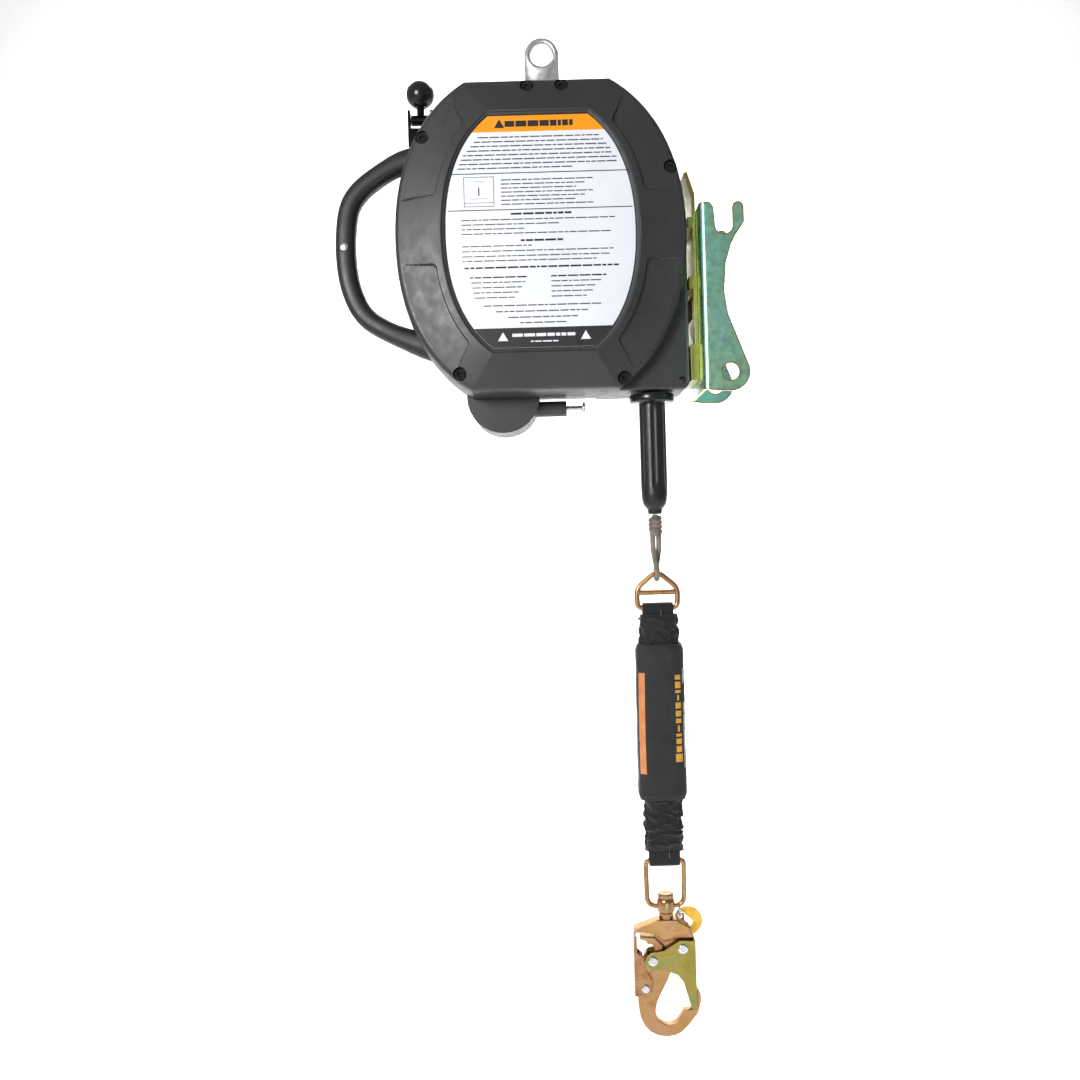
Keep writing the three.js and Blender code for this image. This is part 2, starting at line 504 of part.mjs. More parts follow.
// The split ring stands across a small ear on the hook's back and carries the tag behind it.
function splitRing(radius = 6, wire = 1) {
  const torus = new THREE.TorusGeometry(radius, wire, 8, 20);
  return torus.rotateY(Math.PI / 2).translate(17, 12.2, -982.4);
}
function inspectionTag() {
  const slot = [...arc(18.5, -987.6, 3.6, 40, 220, 6), ...arc(27.5, -997, 4.4, 220, 400, 6)];
  return plate(circle(26.5, -995, 16.6, 24), 15, 16, [slot]);
}
const hanging = new THREE.Group();
hanging.position.copy(line.position);
hanging.add(
  named('tri_ring', triRing(), zinc()),
  named('upper_strap', foldedStrap(-632, -689), fabric()),
  named('upper_gaiter', upright(roundedBox(24, 15, 8), LINE.coverTop + GAP, -640,
    [roundedBox(18.2, 7.4, 1)]), fabric()),
  named('absorber_pack', upright(roundedBox(19, 10, 2), -832, -689.3), fabric()),
  named('absorber_cover', upright(roundedBox(27.3, 16, 9), LINE.coverBottom, LINE.coverTop,
    [roundedBox(19.8, 10.8, 2)]), fabric()),
  named('lower_gaiter', upright(roundedBox(24, 15, 8), -908, LINE.coverBottom - GAP,
    [roundedBox(18.2, 7.4, 1)]), fabric()),
  named('lower_strap', foldedStrap(-920, -832.3), fabric()),
  named('bail', bail(), zinc()),
  named('split_ring', splitRing(), brightSteel()),
  named('inspection_tag', inspectionTag(), zinc()),
);

// ---- swivel snap hook ----
const HOOK = { body: 6.7, lever: [7, 8.4], gate: [8.8, 10.4] };
const GATE_PIVOT = [17, -22.2];
const LOCK_PIN = [-17, -35.4];
const LEVER_PIVOT = [-25.9, -67];
const hookZ = (points) => points.map(([x, z]) => [x, z + HOOK_TOP]);
const hookPin = ([x, z], radius, reach, sides = 16) => pinY(radius, -reach, reach, x, z + HOOK_TOP, sides);
const hookPlate = (points, y0, y1, holes = []) => plate(hookZ(points), y0, y1, holes.map(hookZ));

function hookBody() {
  const shank = [[-30.5, -8], [-3.7, -24], [4, -49], [-1.3, -61.3], [-7.5, -72.6], [-12.4, -82.6], [-15, -92.6],
    ...arc(-0.5, -95.5, 14.5, 190, 330, 8), [22.4, -86.9], [31.8, -71], [34.5, -71.4], [36.8, -78], [36.8, -85],
    [33, -98], [27, -105.5], [21, -112.5], [14, -119], [6, -122.8], [-4, -123.6], [-14, -121.6], [-22, -117.4],
    [-28, -110.6], [-32.4, -101.3], [-34.6, -87], [-34.2, -54], [-31.5, -36]];
  const shoulder = [[-37.5, 0], [-10, 10], [11, 10], [26, 1], [29.7, -11], [8, -11.5], [-3.7, -14], [-15, -6],
    [-26, -3.8], [-37.5, -4]];
  const cheek = [[-30, -8.5], [-14, -10], [-5, -19], [-5, -40], [-24, -52], [-30, -44]];
  const body = join(hookPlate(shank, -4.7, 4.7), hookPlate(shoulder, -8, 8),
    hookPlate([[-8, 2], [29, -10.5], [29, -11.4], [14, -30], [-4, -30], [-14, -9]], -4.7, 4.7),
    hookPlate(cheek, -HOOK.body, HOOK.body),
    hookPlate([[12, 11.5], [22, 11.5], [22, -2], [12, -2]], 7.9, 9.8));
  const path = [0, 7.5, 15, 22].map((turn) => {
    const [dx, dz] = [LOCK_PIN[0] - GATE_PIVOT[0], LOCK_PIN[1] - GATE_PIVOT[1]];
    const angle = Math.atan2(dz, dx) - (turn * Math.PI) / 180;
    const reach = Math.hypot(dx, dz);
    return [GATE_PIVOT[0] + reach * Math.cos(angle), GATE_PIVOT[1] + reach * Math.sin(angle)];
  });
  const mouth = solid(hookPin(GATE_PIVOT, 71.8, 20, 48)).intersect(solid(
    box(0, 31.8, -20, 20, HOOK_TOP - 100, HOOK_TOP - 60)));
  const teardrop = [...arc(-28.3, -18.7, 6, 0, 200, 8), [-27.5, -38]];
  return [...path.map((at) => hookPin(at, 4.3, 20)), hookPin(GATE_PIVOT, 3.3, 20),
    hookPin(LEVER_PIVOT, 3.3, 20),
    hookPlate(teardrop, -20, 20), mouth, alongZ(rod(5.3, HOOK_TOP - 6, HOOK_TOP + 20), 0, 0, 20),
    hookPin([17, 8], 2.3, 20),
    box(25.5, 32, -20, 20, HOOK_TOP - 60, HOOK_TOP - 12.5)]
    .reduce((rest, tool) => rest.subtract(solid(tool)), body);
}
function lockLever() {
  const [near, far] = HOOK.lever;
  const cheek = [[-38.2, -8], [-34.6, -8], [-34.6, -26], [-28, -32], [-25, -46], [-18, -58], [-17.5, -70],
    [-25, -75.5], [-38.2, -75.5]];
  const channel = join(hookPlate(cheek, -far, -near), hookPlate(cheek, near, far),
    hookPlate([[-38.2, -75.5], [-36.4, -75.5], [-36.4, -8], [-38.2, -8]], -far, far));
  return channel.subtract(solid(hookPin(LEVER_PIVOT, 3.3, 20)));
}
function gate() {
  const [near, far] = HOOK.gate;
  const cheek = [[31.4, -13.8], [31.4, -91], [25.5, -90], [22.4, -80], [17, -60], [10.6, -51.4], [2.5, -48.3],
    ...arc(LOCK_PIN[0], LOCK_PIN[1], 8.8, 260, 110, 6), [-4.9, -24], [5.5, -18.4], [13.6, -12.8]].reverse();
  return join(hookPlate(cheek, -far, -near), hookPlate(cheek, near, far),
    hookPlate([[29.5, -91], [31.4, -91], [31.4, -13.8], [29.5, -13.8]], -far, far))
    .subtract(solid(hookPin(GATE_PIVOT, 3.3, 20))).subtract(solid(hookPin(LOCK_PIN, 3.3, 20)));
}
const rivet = (at, reach, head) => join(hookPin(at, 3, reach + 1), cut(hookPin(at, head, reach + 2.3, 12),
  hookPin(at, head + 5, reach + GAP, 12)));
const swivelStud = () => alongZ([[0, HOOK_TOP - 5.5], [5, HOOK_TOP - 5.5], [5, -984.8], [8, -984.8], [8, -978.3],
  [5, -978.3], [5, -961.7], [9, -961.7], [9, -957.5], [7.5, -956.5], [0, -956.5]], 0, 0, 20);

hanging.add(
  named('swivel_stud', swivelStud(), zinc()),
  named('hook_body', hookBody(), zinc()),
  named('lock_lever', lockLever(), zinc()),
  named('hook_gate', gate(), zinc()),
  named('gate_rivet', rivet(GATE_PIVOT, HOOK.gate[1], 5.5), brightSteel()),
  named('lock_rivet', rivet(LOCK_PIN, HOOK.gate[1], 5.5), brightSteel()),
  named('lever_rivet', rivet(LEVER_PIVOT, HOOK.lever[1], 4.6), brightSteel()),
);

const selfRetractingLifeline = new THREE.Group();
selfRetractingLifeline.add(housing, drive, retrieval, bracket, line, hanging);
export default selfRetractingLifeline;
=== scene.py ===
"""A self retracting lifeline: housing with retrieval crank, side bracket, energy absorber and snap hook.
Lengths are in millimetres until they become vertices. The front faces -Y and +Z is up."""

import json
import math

import bmesh
import bpy
import numpy as np
from mathutils import Matrix, Vector, noise

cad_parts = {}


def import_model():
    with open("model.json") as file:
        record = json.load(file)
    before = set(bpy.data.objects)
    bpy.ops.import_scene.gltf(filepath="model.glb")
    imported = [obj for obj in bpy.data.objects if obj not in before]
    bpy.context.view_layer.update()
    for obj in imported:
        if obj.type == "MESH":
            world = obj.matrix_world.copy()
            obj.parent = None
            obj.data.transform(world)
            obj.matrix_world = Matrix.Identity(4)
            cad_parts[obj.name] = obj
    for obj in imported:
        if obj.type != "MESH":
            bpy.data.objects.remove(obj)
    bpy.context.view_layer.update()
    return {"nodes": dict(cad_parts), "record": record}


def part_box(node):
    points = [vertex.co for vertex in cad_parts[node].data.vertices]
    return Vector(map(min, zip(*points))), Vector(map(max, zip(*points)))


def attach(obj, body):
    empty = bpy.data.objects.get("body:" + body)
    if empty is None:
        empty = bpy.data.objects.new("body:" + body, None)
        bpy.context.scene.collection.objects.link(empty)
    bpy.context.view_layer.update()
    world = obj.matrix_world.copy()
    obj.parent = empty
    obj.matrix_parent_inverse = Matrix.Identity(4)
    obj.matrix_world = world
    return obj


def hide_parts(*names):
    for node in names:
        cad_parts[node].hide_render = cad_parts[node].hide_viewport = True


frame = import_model()

MM = 0.001
HOUSING_X, HOUSING_Z = -6.0, -215.4  # centre of the housing
LINE_X = 115.0  # the lifeline and everything under it hang on this line
ROPE_RADIUS = 3.0
COVER_TOP, COVER_FOOT = -672.6, -848.4  # ends of the absorber cover
BODY_OF = {node: body for body, nodes in frame["record"]["behaviour"]["bodies"].items() for node in nodes}


# ---- materials ----
def linear(hex_colour):
    """'#rrggbb' as linear RGBA."""
    parts = [int(hex_colour[i : i + 2], 16) / 255 for i in (1, 3, 5)]
    return [c / 12.92 if c < 0.04045 else ((c + 0.055) / 1.055) ** 2.4 for c in parts] + [1.0]


class Surface:
    """A Principled material with helpers for the nodes that feed it."""

    def __init__(self, name, colour, rough, metal=0.0):
        self.material = bpy.data.materials.new(name)
        self.material.use_nodes = True
        self.nodes, self.links = self.material.node_tree.nodes, self.material.node_tree.links
        self.shader = self.nodes["Principled BSDF"]
        self.shader.inputs["Base Color"].default_value = linear(colour)
        self.shader.inputs["Roughness"].default_value = rough
        self.shader.inputs["Metallic"].default_value = metal
        self.bumps = None
        self.coords = self.nodes.new("ShaderNodeTexCoord").outputs["Object"]

    def stretched(self, scale):
        mapping = self.nodes.new("ShaderNodeMapping")
        mapping.inputs["Scale"].default_value = scale
        self.links.new(self.coords, mapping.inputs["Vector"])
        return mapping.outputs["Vector"]

    def noise(self, scale, stretch=(1, 1, 1), detail=4, warp=0.0):
        """Noise from 0 to 1; scale counts features per metre."""
        node = self.nodes.new("ShaderNodeTexNoise")
        node.inputs["Scale"].default_value = scale
        node.inputs["Detail"].default_value = detail
        node.inputs["Distortion"].default_value = warp
        self.links.new(self.stretched(stretch), node.inputs["Vector"])
        return node.outputs["Fac"]

    def wave(self, scale, stretch, direction="Z", kind="BANDS"):
        node = self.nodes.new("ShaderNodeTexWave")
        node.wave_type, node.wave_profile = kind, "SIN"
        node.bands_direction = direction
        node.inputs["Scale"].default_value = scale
        self.links.new(self.stretched(stretch), node.inputs["Vector"])
        return node.outputs["Fac"]

    def ramp(self, value, stops):
        node = self.nodes.new("ShaderNodeValToRGB")
        self.links.new(value, node.inputs["Fac"])
        while len(node.color_ramp.elements) < len(stops):
            node.color_ramp.elements.new(0.5)
        for element, (at, colour) in zip(node.color_ramp.elements, stops):
            element.position = at
            element.color = linear(colour) if isinstance(colour, str) else (colour, colour, colour, 1)
        return node.outputs["Color"]

    def feed(self, socket, value):
        self.links.new(value, self.shader.inputs[socket])
        return self

    def colours(self, value, stops):
        return self.feed("Base Color", self.ramp(value, stops))

    def roughness(self, value, low, high):
        return self.feed("Roughness", self.ramp(value, [(0.3, low), (0.7, high)]))

    def bump(self, value, depth):
        """Adds a relief of that depth in millimetres."""
        node = self.nodes.new("ShaderNodeBump")
        node.inputs["Distance"].default_value = depth * MM
        node.inputs["Strength"].default_value = 1.0
        self.links.new(value, node.inputs["Height"])
        if self.bumps is not None:
            self.links.new(self.bumps, node.inputs["Normal"])
        self.bumps = node.outputs["Normal"]
        self.links.new(self.bumps, self.shader.inputs["Normal"])
        return self


def moulded(name, low, high, rough=0.5):
    s = Surface(name, low, rough)
    s.colours(s.noise(14, detail=6), [(0.3, low), (0.7, high)])
    s.roughness(s.noise(90), rough - 0.07, rough + 0.07)
    return s.bump(s.noise(2600, detail=2), 0.05).material


def metal(name, stops, rough=(0.25, 0.4), scale=22, grain=(1, 1, 1), depth=0.02):
    s = Surface(name, stops[0][1], rough[0], 1.0)
    s.colours(s.noise(scale, detail=3, warp=1.2), stops)
    s.roughness(s.noise(160, grain), *rough)
    return s.bump(s.noise(900, grain, 3), depth).material


def cloth(name, low, high, thread=1.1, depth=0.18, rough=0.85):
    """A plain weave: two sets of threads that cross, on soft folds of colour."""
    s = Surface(name, low, rough)
    s.colours(s.noise(60, detail=5), [(0.3, low), (0.7, high)])
    s.shader.inputs["Sheen Weight"].default_value = 0.15
    turns = 1000 / thread / 6.2832 / 2
    s.bump(s.wave(turns, (1, 1, 1), "Z"), depth).bump(s.wave(turns, (1, 1, 1), "X"), depth)
    return s.bump(s.noise(700), depth).material


PLASTIC = moulded("housing plastic", "#2a2a2b", "#333334", 0.4)
GRIP = moulded("grip plastic", "#19191a", "#212122", 0.42)
BLACK_STEEL = metal("black steel", [(0.3, "#17181a"), (0.7, "#26272a")], (0.3, 0.5))
# Screw heads: their own black, deepened almost to zero as painted shade for the dark bottoms of their deep
# counterbores
SCREW_BLACK_AND_HOLE_SHADE = moulded("screw black and painted hole shade", "#030303", "#060606", 0.85)
BRIGHT = metal("bright plated steel", [(0.3, "#c6c7c5"), (0.7, "#e2e2df")], (0.16, 0.3))
GALVANISED = metal("galvanised steel", [(0.25, "#b9bbba"), (0.5, "#d6d7d5"), (0.75, "#e9e9e6")], (0.25, 0.42),
                   40)
GOLD = metal("yellow chromate", [(0.3, "#a07049"), (0.5, "#b88f68"), (0.7, "#ab8748")], (0.26, 0.42), 26)
COPPER = metal("brown chromate", [(0.3, "#93643f"), (0.55, "#b08862"), (0.75, "#a5916a")], (0.2, 0.34), 30)
OLIVE = metal("olive chromate", [(0.3, "#8c8440"), (0.5, "#a08f4e"), (0.74, "#7f8f58")], (0.26, 0.42), 24)
YELLOW = metal("yellow zinc", [(0.3, "#b98a2a"), (0.6, "#dcb352")], (0.24, 0.38), 60)
DARK_ZINC = metal("dark chromate", [(0.3, "#4a463a"), (0.6, "#6f6a52")], (0.3, 0.45), 12)
def edge_tinted(name, base, edge, width):
    """A chromate whose colour turns to the edge colour within that many millimetres of an edge."""
    s = Surface(name, base[0][1], 0.3, 1.0)
    middle = s.ramp(s.noise(7, detail=3, warp=1.5), base)
    bevel = s.nodes.new("ShaderNodeBevel")
    bevel.samples = 8
    bevel.inputs["Radius"].default_value = width * MM
    normal = s.nodes.new("ShaderNodeNewGeometry").outputs["Normal"]
    dot = s.nodes.new("ShaderNodeVectorMath")
    dot.operation = "DOT_PRODUCT"
    s.links.new(bevel.outputs["Normal"], dot.inputs[0])
    s.links.new(normal, dot.inputs[1])
    share = s.ramp(dot.outputs["Value"], [(0.86, 1.0), (0.995, 0.0)])
    mix = s.nodes.new("ShaderNodeMix")
    mix.data_type = "RGBA"
    s.links.new(share, mix.inputs["Factor"])
    s.links.new(middle, mix.inputs["A"])
    mix.inputs["B"].default_value = linear(edge)
    s.feed("Base Color", mix.outputs["Result"])
    s.roughness(s.noise(160), 0.24, 0.4)
    return s.bump(s.noise(900), 0.02).material


CAST = metal("cast metal", [(0.3, "#7e8082"), (0.7, "#9a9c9e")], (0.45, 0.6), 30, depth=0.08)
TEAL = edge_tinted("iridescent chromate",
                   [(0.2, "#d8cf92"), (0.36, "#b4dcae"), (0.52, "#9fdcc0"), (0.66, "#a2d8d6"),
                                           (0.8, "#c2c884")], "#b08a3c", 4.5)
BRONZE = metal("bearing bronze", [(0.3, "#9c7836"), (0.7, "#b8924e")], (0.3, 0.45))
GLOSS = moulded("polished black", "#101112", "#18191a", 0.16)
RUBBER = moulded("bumper rubber", "#101112", "#18191a", 0.34)
ROPE = cloth("rope fibre", "#4f4a43", "#8d8474", 0.5, 0.1)
RIPSTOP = cloth("cover cloth", "#131516", "#1c1e20", 1.3, 0.08, 0.72)
GAITER = cloth("gaiter cloth", "#0d0e0f", "#151617", 0.9, 0.12, 0.8)
WEBBING = cloth("black webbing", "#0a0b0c", "#131416", 2.2, 0.3, 0.8)


# ---- mesh helpers ----
def piece(name, verts, faces, material, node=None, body=None, angle=35):
    """A mesh in millimetres that rides on a body, and stands for a CAD node if one is named."""
    mesh = bpy.data.meshes.new(name)
    mesh.from_pydata([tuple(float(c) * MM for c in v) for v in verts], [], [tuple(f) for f in faces])
    bm = bmesh.new()
    bm.from_mesh(mesh)
    bmesh.ops.recalc_face_normals(bm, faces=bm.faces)
    bm.to_mesh(mesh)
    bm.free()
    mesh.validate()
    return placed(name, mesh, material, node, body, angle)


def placed(name, mesh, material, node=None, body=None, angle=35):
    obj = bpy.data.objects.new(name, mesh)
    bpy.context.scene.collection.objects.link(obj)
    if material is not None:
        mesh.materials.clear()
        mesh.materials.append(material)
    smooth(mesh, angle)
    if body or node:
        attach(obj, body or BODY_OF[node])
    if node:
        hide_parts(node)
    return obj


def smooth(mesh, angle):
    mesh.polygons.foreach_set("use_smooth", [True] * len(mesh.polygons))
    mesh.set_sharp_from_angle(angle=math.radians(angle))


def grid_faces(rows, columns, closed=True, start=0):
    """Quads between rows of a grid; a closed grid wraps in its columns."""
    faces = []
    for r in range(rows - 1):
        for c in range(columns if closed else columns - 1):
            d = (c + 1) % columns
            a, b = start + r * columns, start + (r + 1) * columns
            faces.append((a + c, a + d, b + d, b + c))
    return faces


def capped(rows):
    """Vertices and faces of a closed skin through equal rings, with both ends filled."""
    rows = [list(r) for r in rows]
    columns = len(rows[0])
    verts = [p for row in rows for p in row]
    faces = grid_faces(len(rows), columns)
    faces += [tuple(range(columns)), tuple(range(len(verts) - columns, len(verts)))]
    return verts, faces


def lathe(name, profile, centre, axis, material, node=None, body=None, sides=64, angle=35):
    """Turns (radius, along) pairs about an axis, 'x', 'y' or 'z', through centre; closed skin."""
    verts, faces, rings = [], [], []
    for radius, along in profile:
        if radius < 1e-6:
            rings.append([len(verts)] * sides)
            verts.append(turned_point(0, along, 0, centre, axis))
            continue
        rings.append(list(range(len(verts), len(verts) + sides)))
        verts += [turned_point(radius, along, 2 * math.pi * i / sides, centre, axis) for i in range(sides)]
    for a, b in zip(rings, rings[1:] + ([rings[0]] if profile[0][0] > 0 and profile[-1][0] > 0 else [])):
        for i in range(sides):
            j = (i + 1) % sides
            face = list(dict.fromkeys([a[i], a[j], b[j], b[i]]))
            if len(face) > 2:
                faces.append(face)
    return piece(name, verts, faces, material, node, body, angle)


def turned_point(radius, along, angle, centre, axis):
    c, s = radius * math.cos(angle), radius * math.sin(angle)
    x, y, z = {"x": (along, c, s), "y": (c, along, s), "z": (c, s, along)}[axis]
    return (centre[0] + x, centre[1] + y, centre[2] + z)


def smoothed(points, count, closed=False):
    """Points spread evenly along a Catmull-Rom line through the given ones."""
    p = [np.array(q, float) for q in points]
    ends = [p[-1]] + p + [p[0], p[1]] if closed else [2 * p[0] - p[1]] + p + [2 * p[-1] - p[-2]]
    fine = []
    for a, b, c, d in zip(ends, ends[1:], ends[2:], ends[3:]):
        for t in np.linspace(0, 1, 24, endpoint=False):
            fine.append(0.5 * (2 * b + (c - a) * t + (2 * a - 5 * b + 4 * c - d) * t**2
                               + (3 * b - a - 3 * c + d) * t**3))
    fine.append(p[0] if closed else p[-1])
    fine = np.array(fine)
    run = np.concatenate([[0], np.cumsum(np.linalg.norm(np.diff(fine, axis=0), axis=1))])
    at = np.linspace(0, run[-1], count + 1 if closed else count)
    line = np.stack([np.interp(at, run, fine[:, k]) for k in range(3)], axis=1)
    return line[:-1] if closed else line


def swept(line, section, closed=False, up=(0, 1, 0)):
    """Carries section(i, t) -> (u, v) offsets along a line; u lies along up as nearly as it can."""
    n = len(line)
    rows = []
    for i in range(n):
        before = line[i - 1] if closed or i else line[i]
        after = line[(i + 1) % n] if closed or i < n - 1 else line[i]
        tangent = (after - before) / np.linalg.norm(after - before)
        u = np.array(up, float) - np.dot(up, tangent) * tangent
        u /= np.linalg.norm(u)
        v = np.cross(tangent, u)
        rows.append([line[i] + a * u + b * v for a, b in section(i, i / (n - 1))])
    verts = [p for row in rows for p in row]
    columns = len(rows[0])
    faces = grid_faces(n, columns)
    if closed:
        faces += [((n - 1) * columns + c, (n - 1) * columns + (c + 1) % columns, (c + 1) % columns, c)
                  for c in range(columns)]
    else:
        faces += [tuple(range(columns)), tuple(range((n - 1) * columns, n * columns))]
    return verts, faces


def ring_section(radius, sides=20):
    angles = [2 * math.pi * i / sides for i in range(sides)]
    return lambda i, t: [(radius * math.cos(a), radius * math.sin(a)) for a in angles]


def cut(obj, tool, operation="DIFFERENCE"):
    """Applies a boolean and removes the tool."""
    modifier = obj.modifiers.new("cut", "BOOLEAN")
    modifier.operation, modifier.solver, modifier.object = operation, "EXACT", tool
    return applied(obj, tool)


def applied(obj, *used):
    """obj with its modifiers made real."""
    graph = bpy.context.evaluated_depsgraph_get()
    mesh = bpy.data.meshes.new_from_object(obj.evaluated_get(graph))
    obj.modifiers.clear()
    obj.data = mesh
    for other in used:
        bpy.data.objects.remove(other)
    return obj


def refined(node, material, bevel=0.5, segments=2, angle=32, flat=2.0):
    """A CAD node's own form with flats merged, edges rounded and curved faces shaded smooth."""
    mesh = frame["nodes"][node].data.copy()
    bm = bmesh.new()
    bm.from_mesh(mesh)
    bmesh.ops.remove_doubles(bm, verts=bm.verts, dist=2e-5)
    bmesh.ops.dissolve_limit(bm, angle_limit=math.radians(flat), verts=bm.verts, edges=bm.edges)
    bm.to_mesh(mesh)
    bm.free()
    obj = placed(node + "_form", mesh, material, node, None, angle)
    if bevel:
        edge = obj.modifiers.new("edge", "BEVEL")
        edge.width, edge.segments = bevel * MM, segments
        edge.limit_method, edge.angle_limit = "ANGLE", math.radians(angle)
        edge.harden_normals = True
    return obj


# ---- housing covers ----
def outline(half_width, bulge, half_height, inset, heights, flats=24):
    """Superellipse sides cut flat at top and bottom, as (x, z); heights are sine angles in degrees."""
    top = half_height - inset
    side = []
    for angle in heights:
        z = top * math.sin(math.radians(angle))
        share = 1 - abs(z / (bulge - inset)) ** 2.2
        side.append(((half_width - inset) * share ** (1 / 2.2), z))
    corner = side[-1][0]
    across = [(corner * (1 - 2 * i / flats), top) for i in range(1, flats)]
    return side + across + [(-x, -z) for x, z in side] + [(-x, -z) for x, z in across]


def case_outline(inset, heights):
    return outline(163, 193, 173, inset, heights)


def label_outline(inset, heights):
    return outline(104.5, 144.5, 127.5, inset, heights)


PLAIN = np.linspace(-90, 90, 97)
FINE = np.unique(np.round(np.concatenate(
    [PLAIN] + [s * np.arange(a, b, 0.45) for s in (1, -1) for a, b in ((10, 21), (56, 69))]), 3))
POCKET_TOP = 0.87  # share of the way from rim to label where a pocket's inner wall stands
SCREWS = [(-11, 162.5), (27, 162.5), (-127.5, 109), (144, 70), (-93, -151.5), (87.5, -160.5)]


def case(x, y, z):
    return (HOUSING_X + x, y, HOUSING_Z + z)


def pocket_depth(share, angle, slope_length=49.0, deep=4.0, corner=6.0):
    """Depth of the four moulded pockets: steep at the inner and end walls, fading out at the rim."""
    lift = share / POCKET_TOP
    low, high = (13.5 + 4.6 * lift, 68.5 - 8.5
                 * lift) if angle > 0 else (10.2 + 3.2 * lift, 66.5 - 7.0 * lift)
    inner = (POCKET_TOP - share) * slope_length
    end = min(abs(angle) - low, high - abs(angle)) * 2.65
    if inner < corner and end < corner:
        near = corner - math.hypot(corner - max(inner, -9), corner - max(end, -9))
    else:
        near = min(inner, end)
    wall = min(max(near / 1.3, 0.0), 1.0)
    fade = min(max((share - 0.05) / 0.75, 0.0), 1.0)
    return deep * wall * wall * (3 - 2 * wall) * fade**0.8


def rods(specs):
    """Posts or holes along Y as one mesh: (x, z, radius, y0, y1) in the housing's frame."""
    verts, faces = [], []
    for x, z, radius, y0, y1 in specs:
        start = len(verts)
        for y in (y0, y1):
            verts += [case(x + radius * math.cos(a), y, z + radius * math.sin(a))
                      for a in np.linspace(0, 2 * math.pi, 40, endpoint=False)]
        faces += [tuple(start + i for i in f) for f in
                  grid_faces(2, 40) + [tuple(range(40)), tuple(range(40, 80))]]
    return piece("tool", verts, faces, None)


def box_tool(lo, hi):
    verts = [case(x, y, z) for y in (lo[1], hi[1]) for x, z in
             ((lo[0], lo[2]), (hi[0], lo[2]), (hi[0], hi[2]), (lo[0], hi[2]))]
    return piece("tool", verts, grid_faces(2, 4) + [(0, 1, 2, 3), (4, 5, 6, 7)], None)


def loft_case(name, rings, material=None):
    """A closed skin through (y, outline) rings in the housing's frame."""
    verts, faces = capped([[case(x, y, z) for x, z in ring] for y, ring in rings])
    return piece(name, verts, faces, material, None, None, 30)


def block_outline(inset, corner=10, steps=8):
    """The mouth block where the lifeline leaves: its lower right corner is round."""
    arc = [(162 - corner + (corner - inset) * math.cos(a), -171.5 + corner + (corner - inset) * math.sin(a))
           for a in np.linspace(-math.pi / 2, 0, steps)]
    return [(60, -171.5 + inset)] + arc + [(162 - inset, 0), (60, 0)]


def front_cover():
    shares = np.unique(np.concatenate([np.linspace(0, 1, 46), np.arange(0.82, 0.9, 0.007)]))
    angles = list(FINE) + [None] * 23 + list(FINE) + [None] * 23
    rings = [(y, case_outline(inset, FINE)) for y, inset in
             ((-0.15, 0.0), (-0.6, 0.0), (-22, 0.6), (-37, 2.2), (-41, 3.2), (-43, 4.4), (-44.1, 6.0))]
    rim, label = case_outline(7.0, FINE), label_outline(-5.6, FINE)
    rows = [[case(x, y, z) for x, z in ring] for y, ring in rings]
    columns = len(rim)
    for share in shares:
        row = []
        for i in range(columns):
            (x0, z0), (x1, z1) = rim[i], label[i]
            y = -44.5 - 10.4 * share
            if angles[i] is not None:
                turned = angles[i] if i < len(FINE) else -angles[i]
                y += pocket_depth(share, turned)
            row.append(case(x0 + (x1 - x0) * share, y, z0 + (z1 - z0) * share))
        rows.append(row)
    for y, inset in ((-55.2, -4.6), (-55.0, -3.6), (-54.2, -2.9), (-53.4, -2.7), (-53.2, -2.2), (-53.3, -0.6),
                     (-53.1, -0.1), (-51.8, 0.0)):
        rows.append([case(x, y, z) for x, z in label_outline(inset, FINE)])
    verts, faces = capped(rows)
    cover = piece("front_cover_form", verts, faces, PLASTIC, None, None, 28)
    block = piece("tool", *capped([[case(x, y, z) for x, z in block_outline(i)] for y, i in
                                   ((-0.15, 0), (-22.5, 0), (-24.2, 0.8), (-25, 2.6))]), None)
    cut(cover, block, "UNION")
    hollow = loft_case("tool", [(1, case_outline(3.5, PLAIN)), (-37, case_outline(5.7, PLAIN)),
                                (-41, case_outline(10.5, PLAIN)), (-48.5, label_outline(-3, PLAIN))])
    cut(hollow, rods([(x, z, 11, -60, -34) for x, z in SCREWS]))
    cut(hollow, rods([(x, z, 7.2, -40, 2) for x, z in SCREWS[2:]]))
    cut(cover, hollow)
    cut(cover, rods([(x, z, 7.6, -60, -38) for x, z in SCREWS]))
    cut(cover, rods([(153, -161, 3.2, -60, 5)]))
    cut(cover, box_tool((-14.5, -6.6, 155), (26.5, 6.6, 190)))
    return finished(cover, "front_cover")


def rear_cover():
    rings = [(0.15, 0.0), (0.6, 0.0), (20, 0.4), (38, 2.0), (46, 4.4), (50.5, 7.6), (53.2, 11.4),
             (54.6, 15.4),
             (55, 19.0)]
    cover = loft_case("rear_cover_form", [(y, case_outline(i, PLAIN)) for y, i in rings], PLASTIC)
    block = piece("tool", *capped([[case(x, y, z) for x, z in block_outline(i)] for y, i in
                                   ((0.15, 0), (43.5, 0), (45.2, 0.9), (46, 2.8))]), None)
    cut(cover, block, "UNION")
    cut(cover, loft_case("tool", [(-1, case_outline(3.5, PLAIN)), (36, case_outline(5.7, PLAIN)),
                                  (46, case_outline(10, PLAIN)), (51, case_outline(20, PLAIN))]))
    cut(cover, box_tool((-14.5, -6.6, 155), (26.5, 6.6, 190)))
    cut(cover, rods([(153, -161, 3.2, -5, 60)]))
    cut(cover, box_tool((-83.3, 9, -190), (-13.3, 50, -150)))
    return finished(cover, "rear_cover")


def finished(cover, node):
    """Rounds the hole and seam edges of a cover and puts it in place of its CAD node."""
    edge = cover.modifiers.new("edge", "BEVEL")
    edge.width, edge.segments, edge.limit_method = 0.5 * MM, 2, "ANGLE"
    edge.angle_limit, edge.harden_normals = math.radians(48), True
    smooth(cover.data, 28)
    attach(cover, BODY_OF[node])
    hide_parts(node)
    return cover


front_cover()
rear_cover()


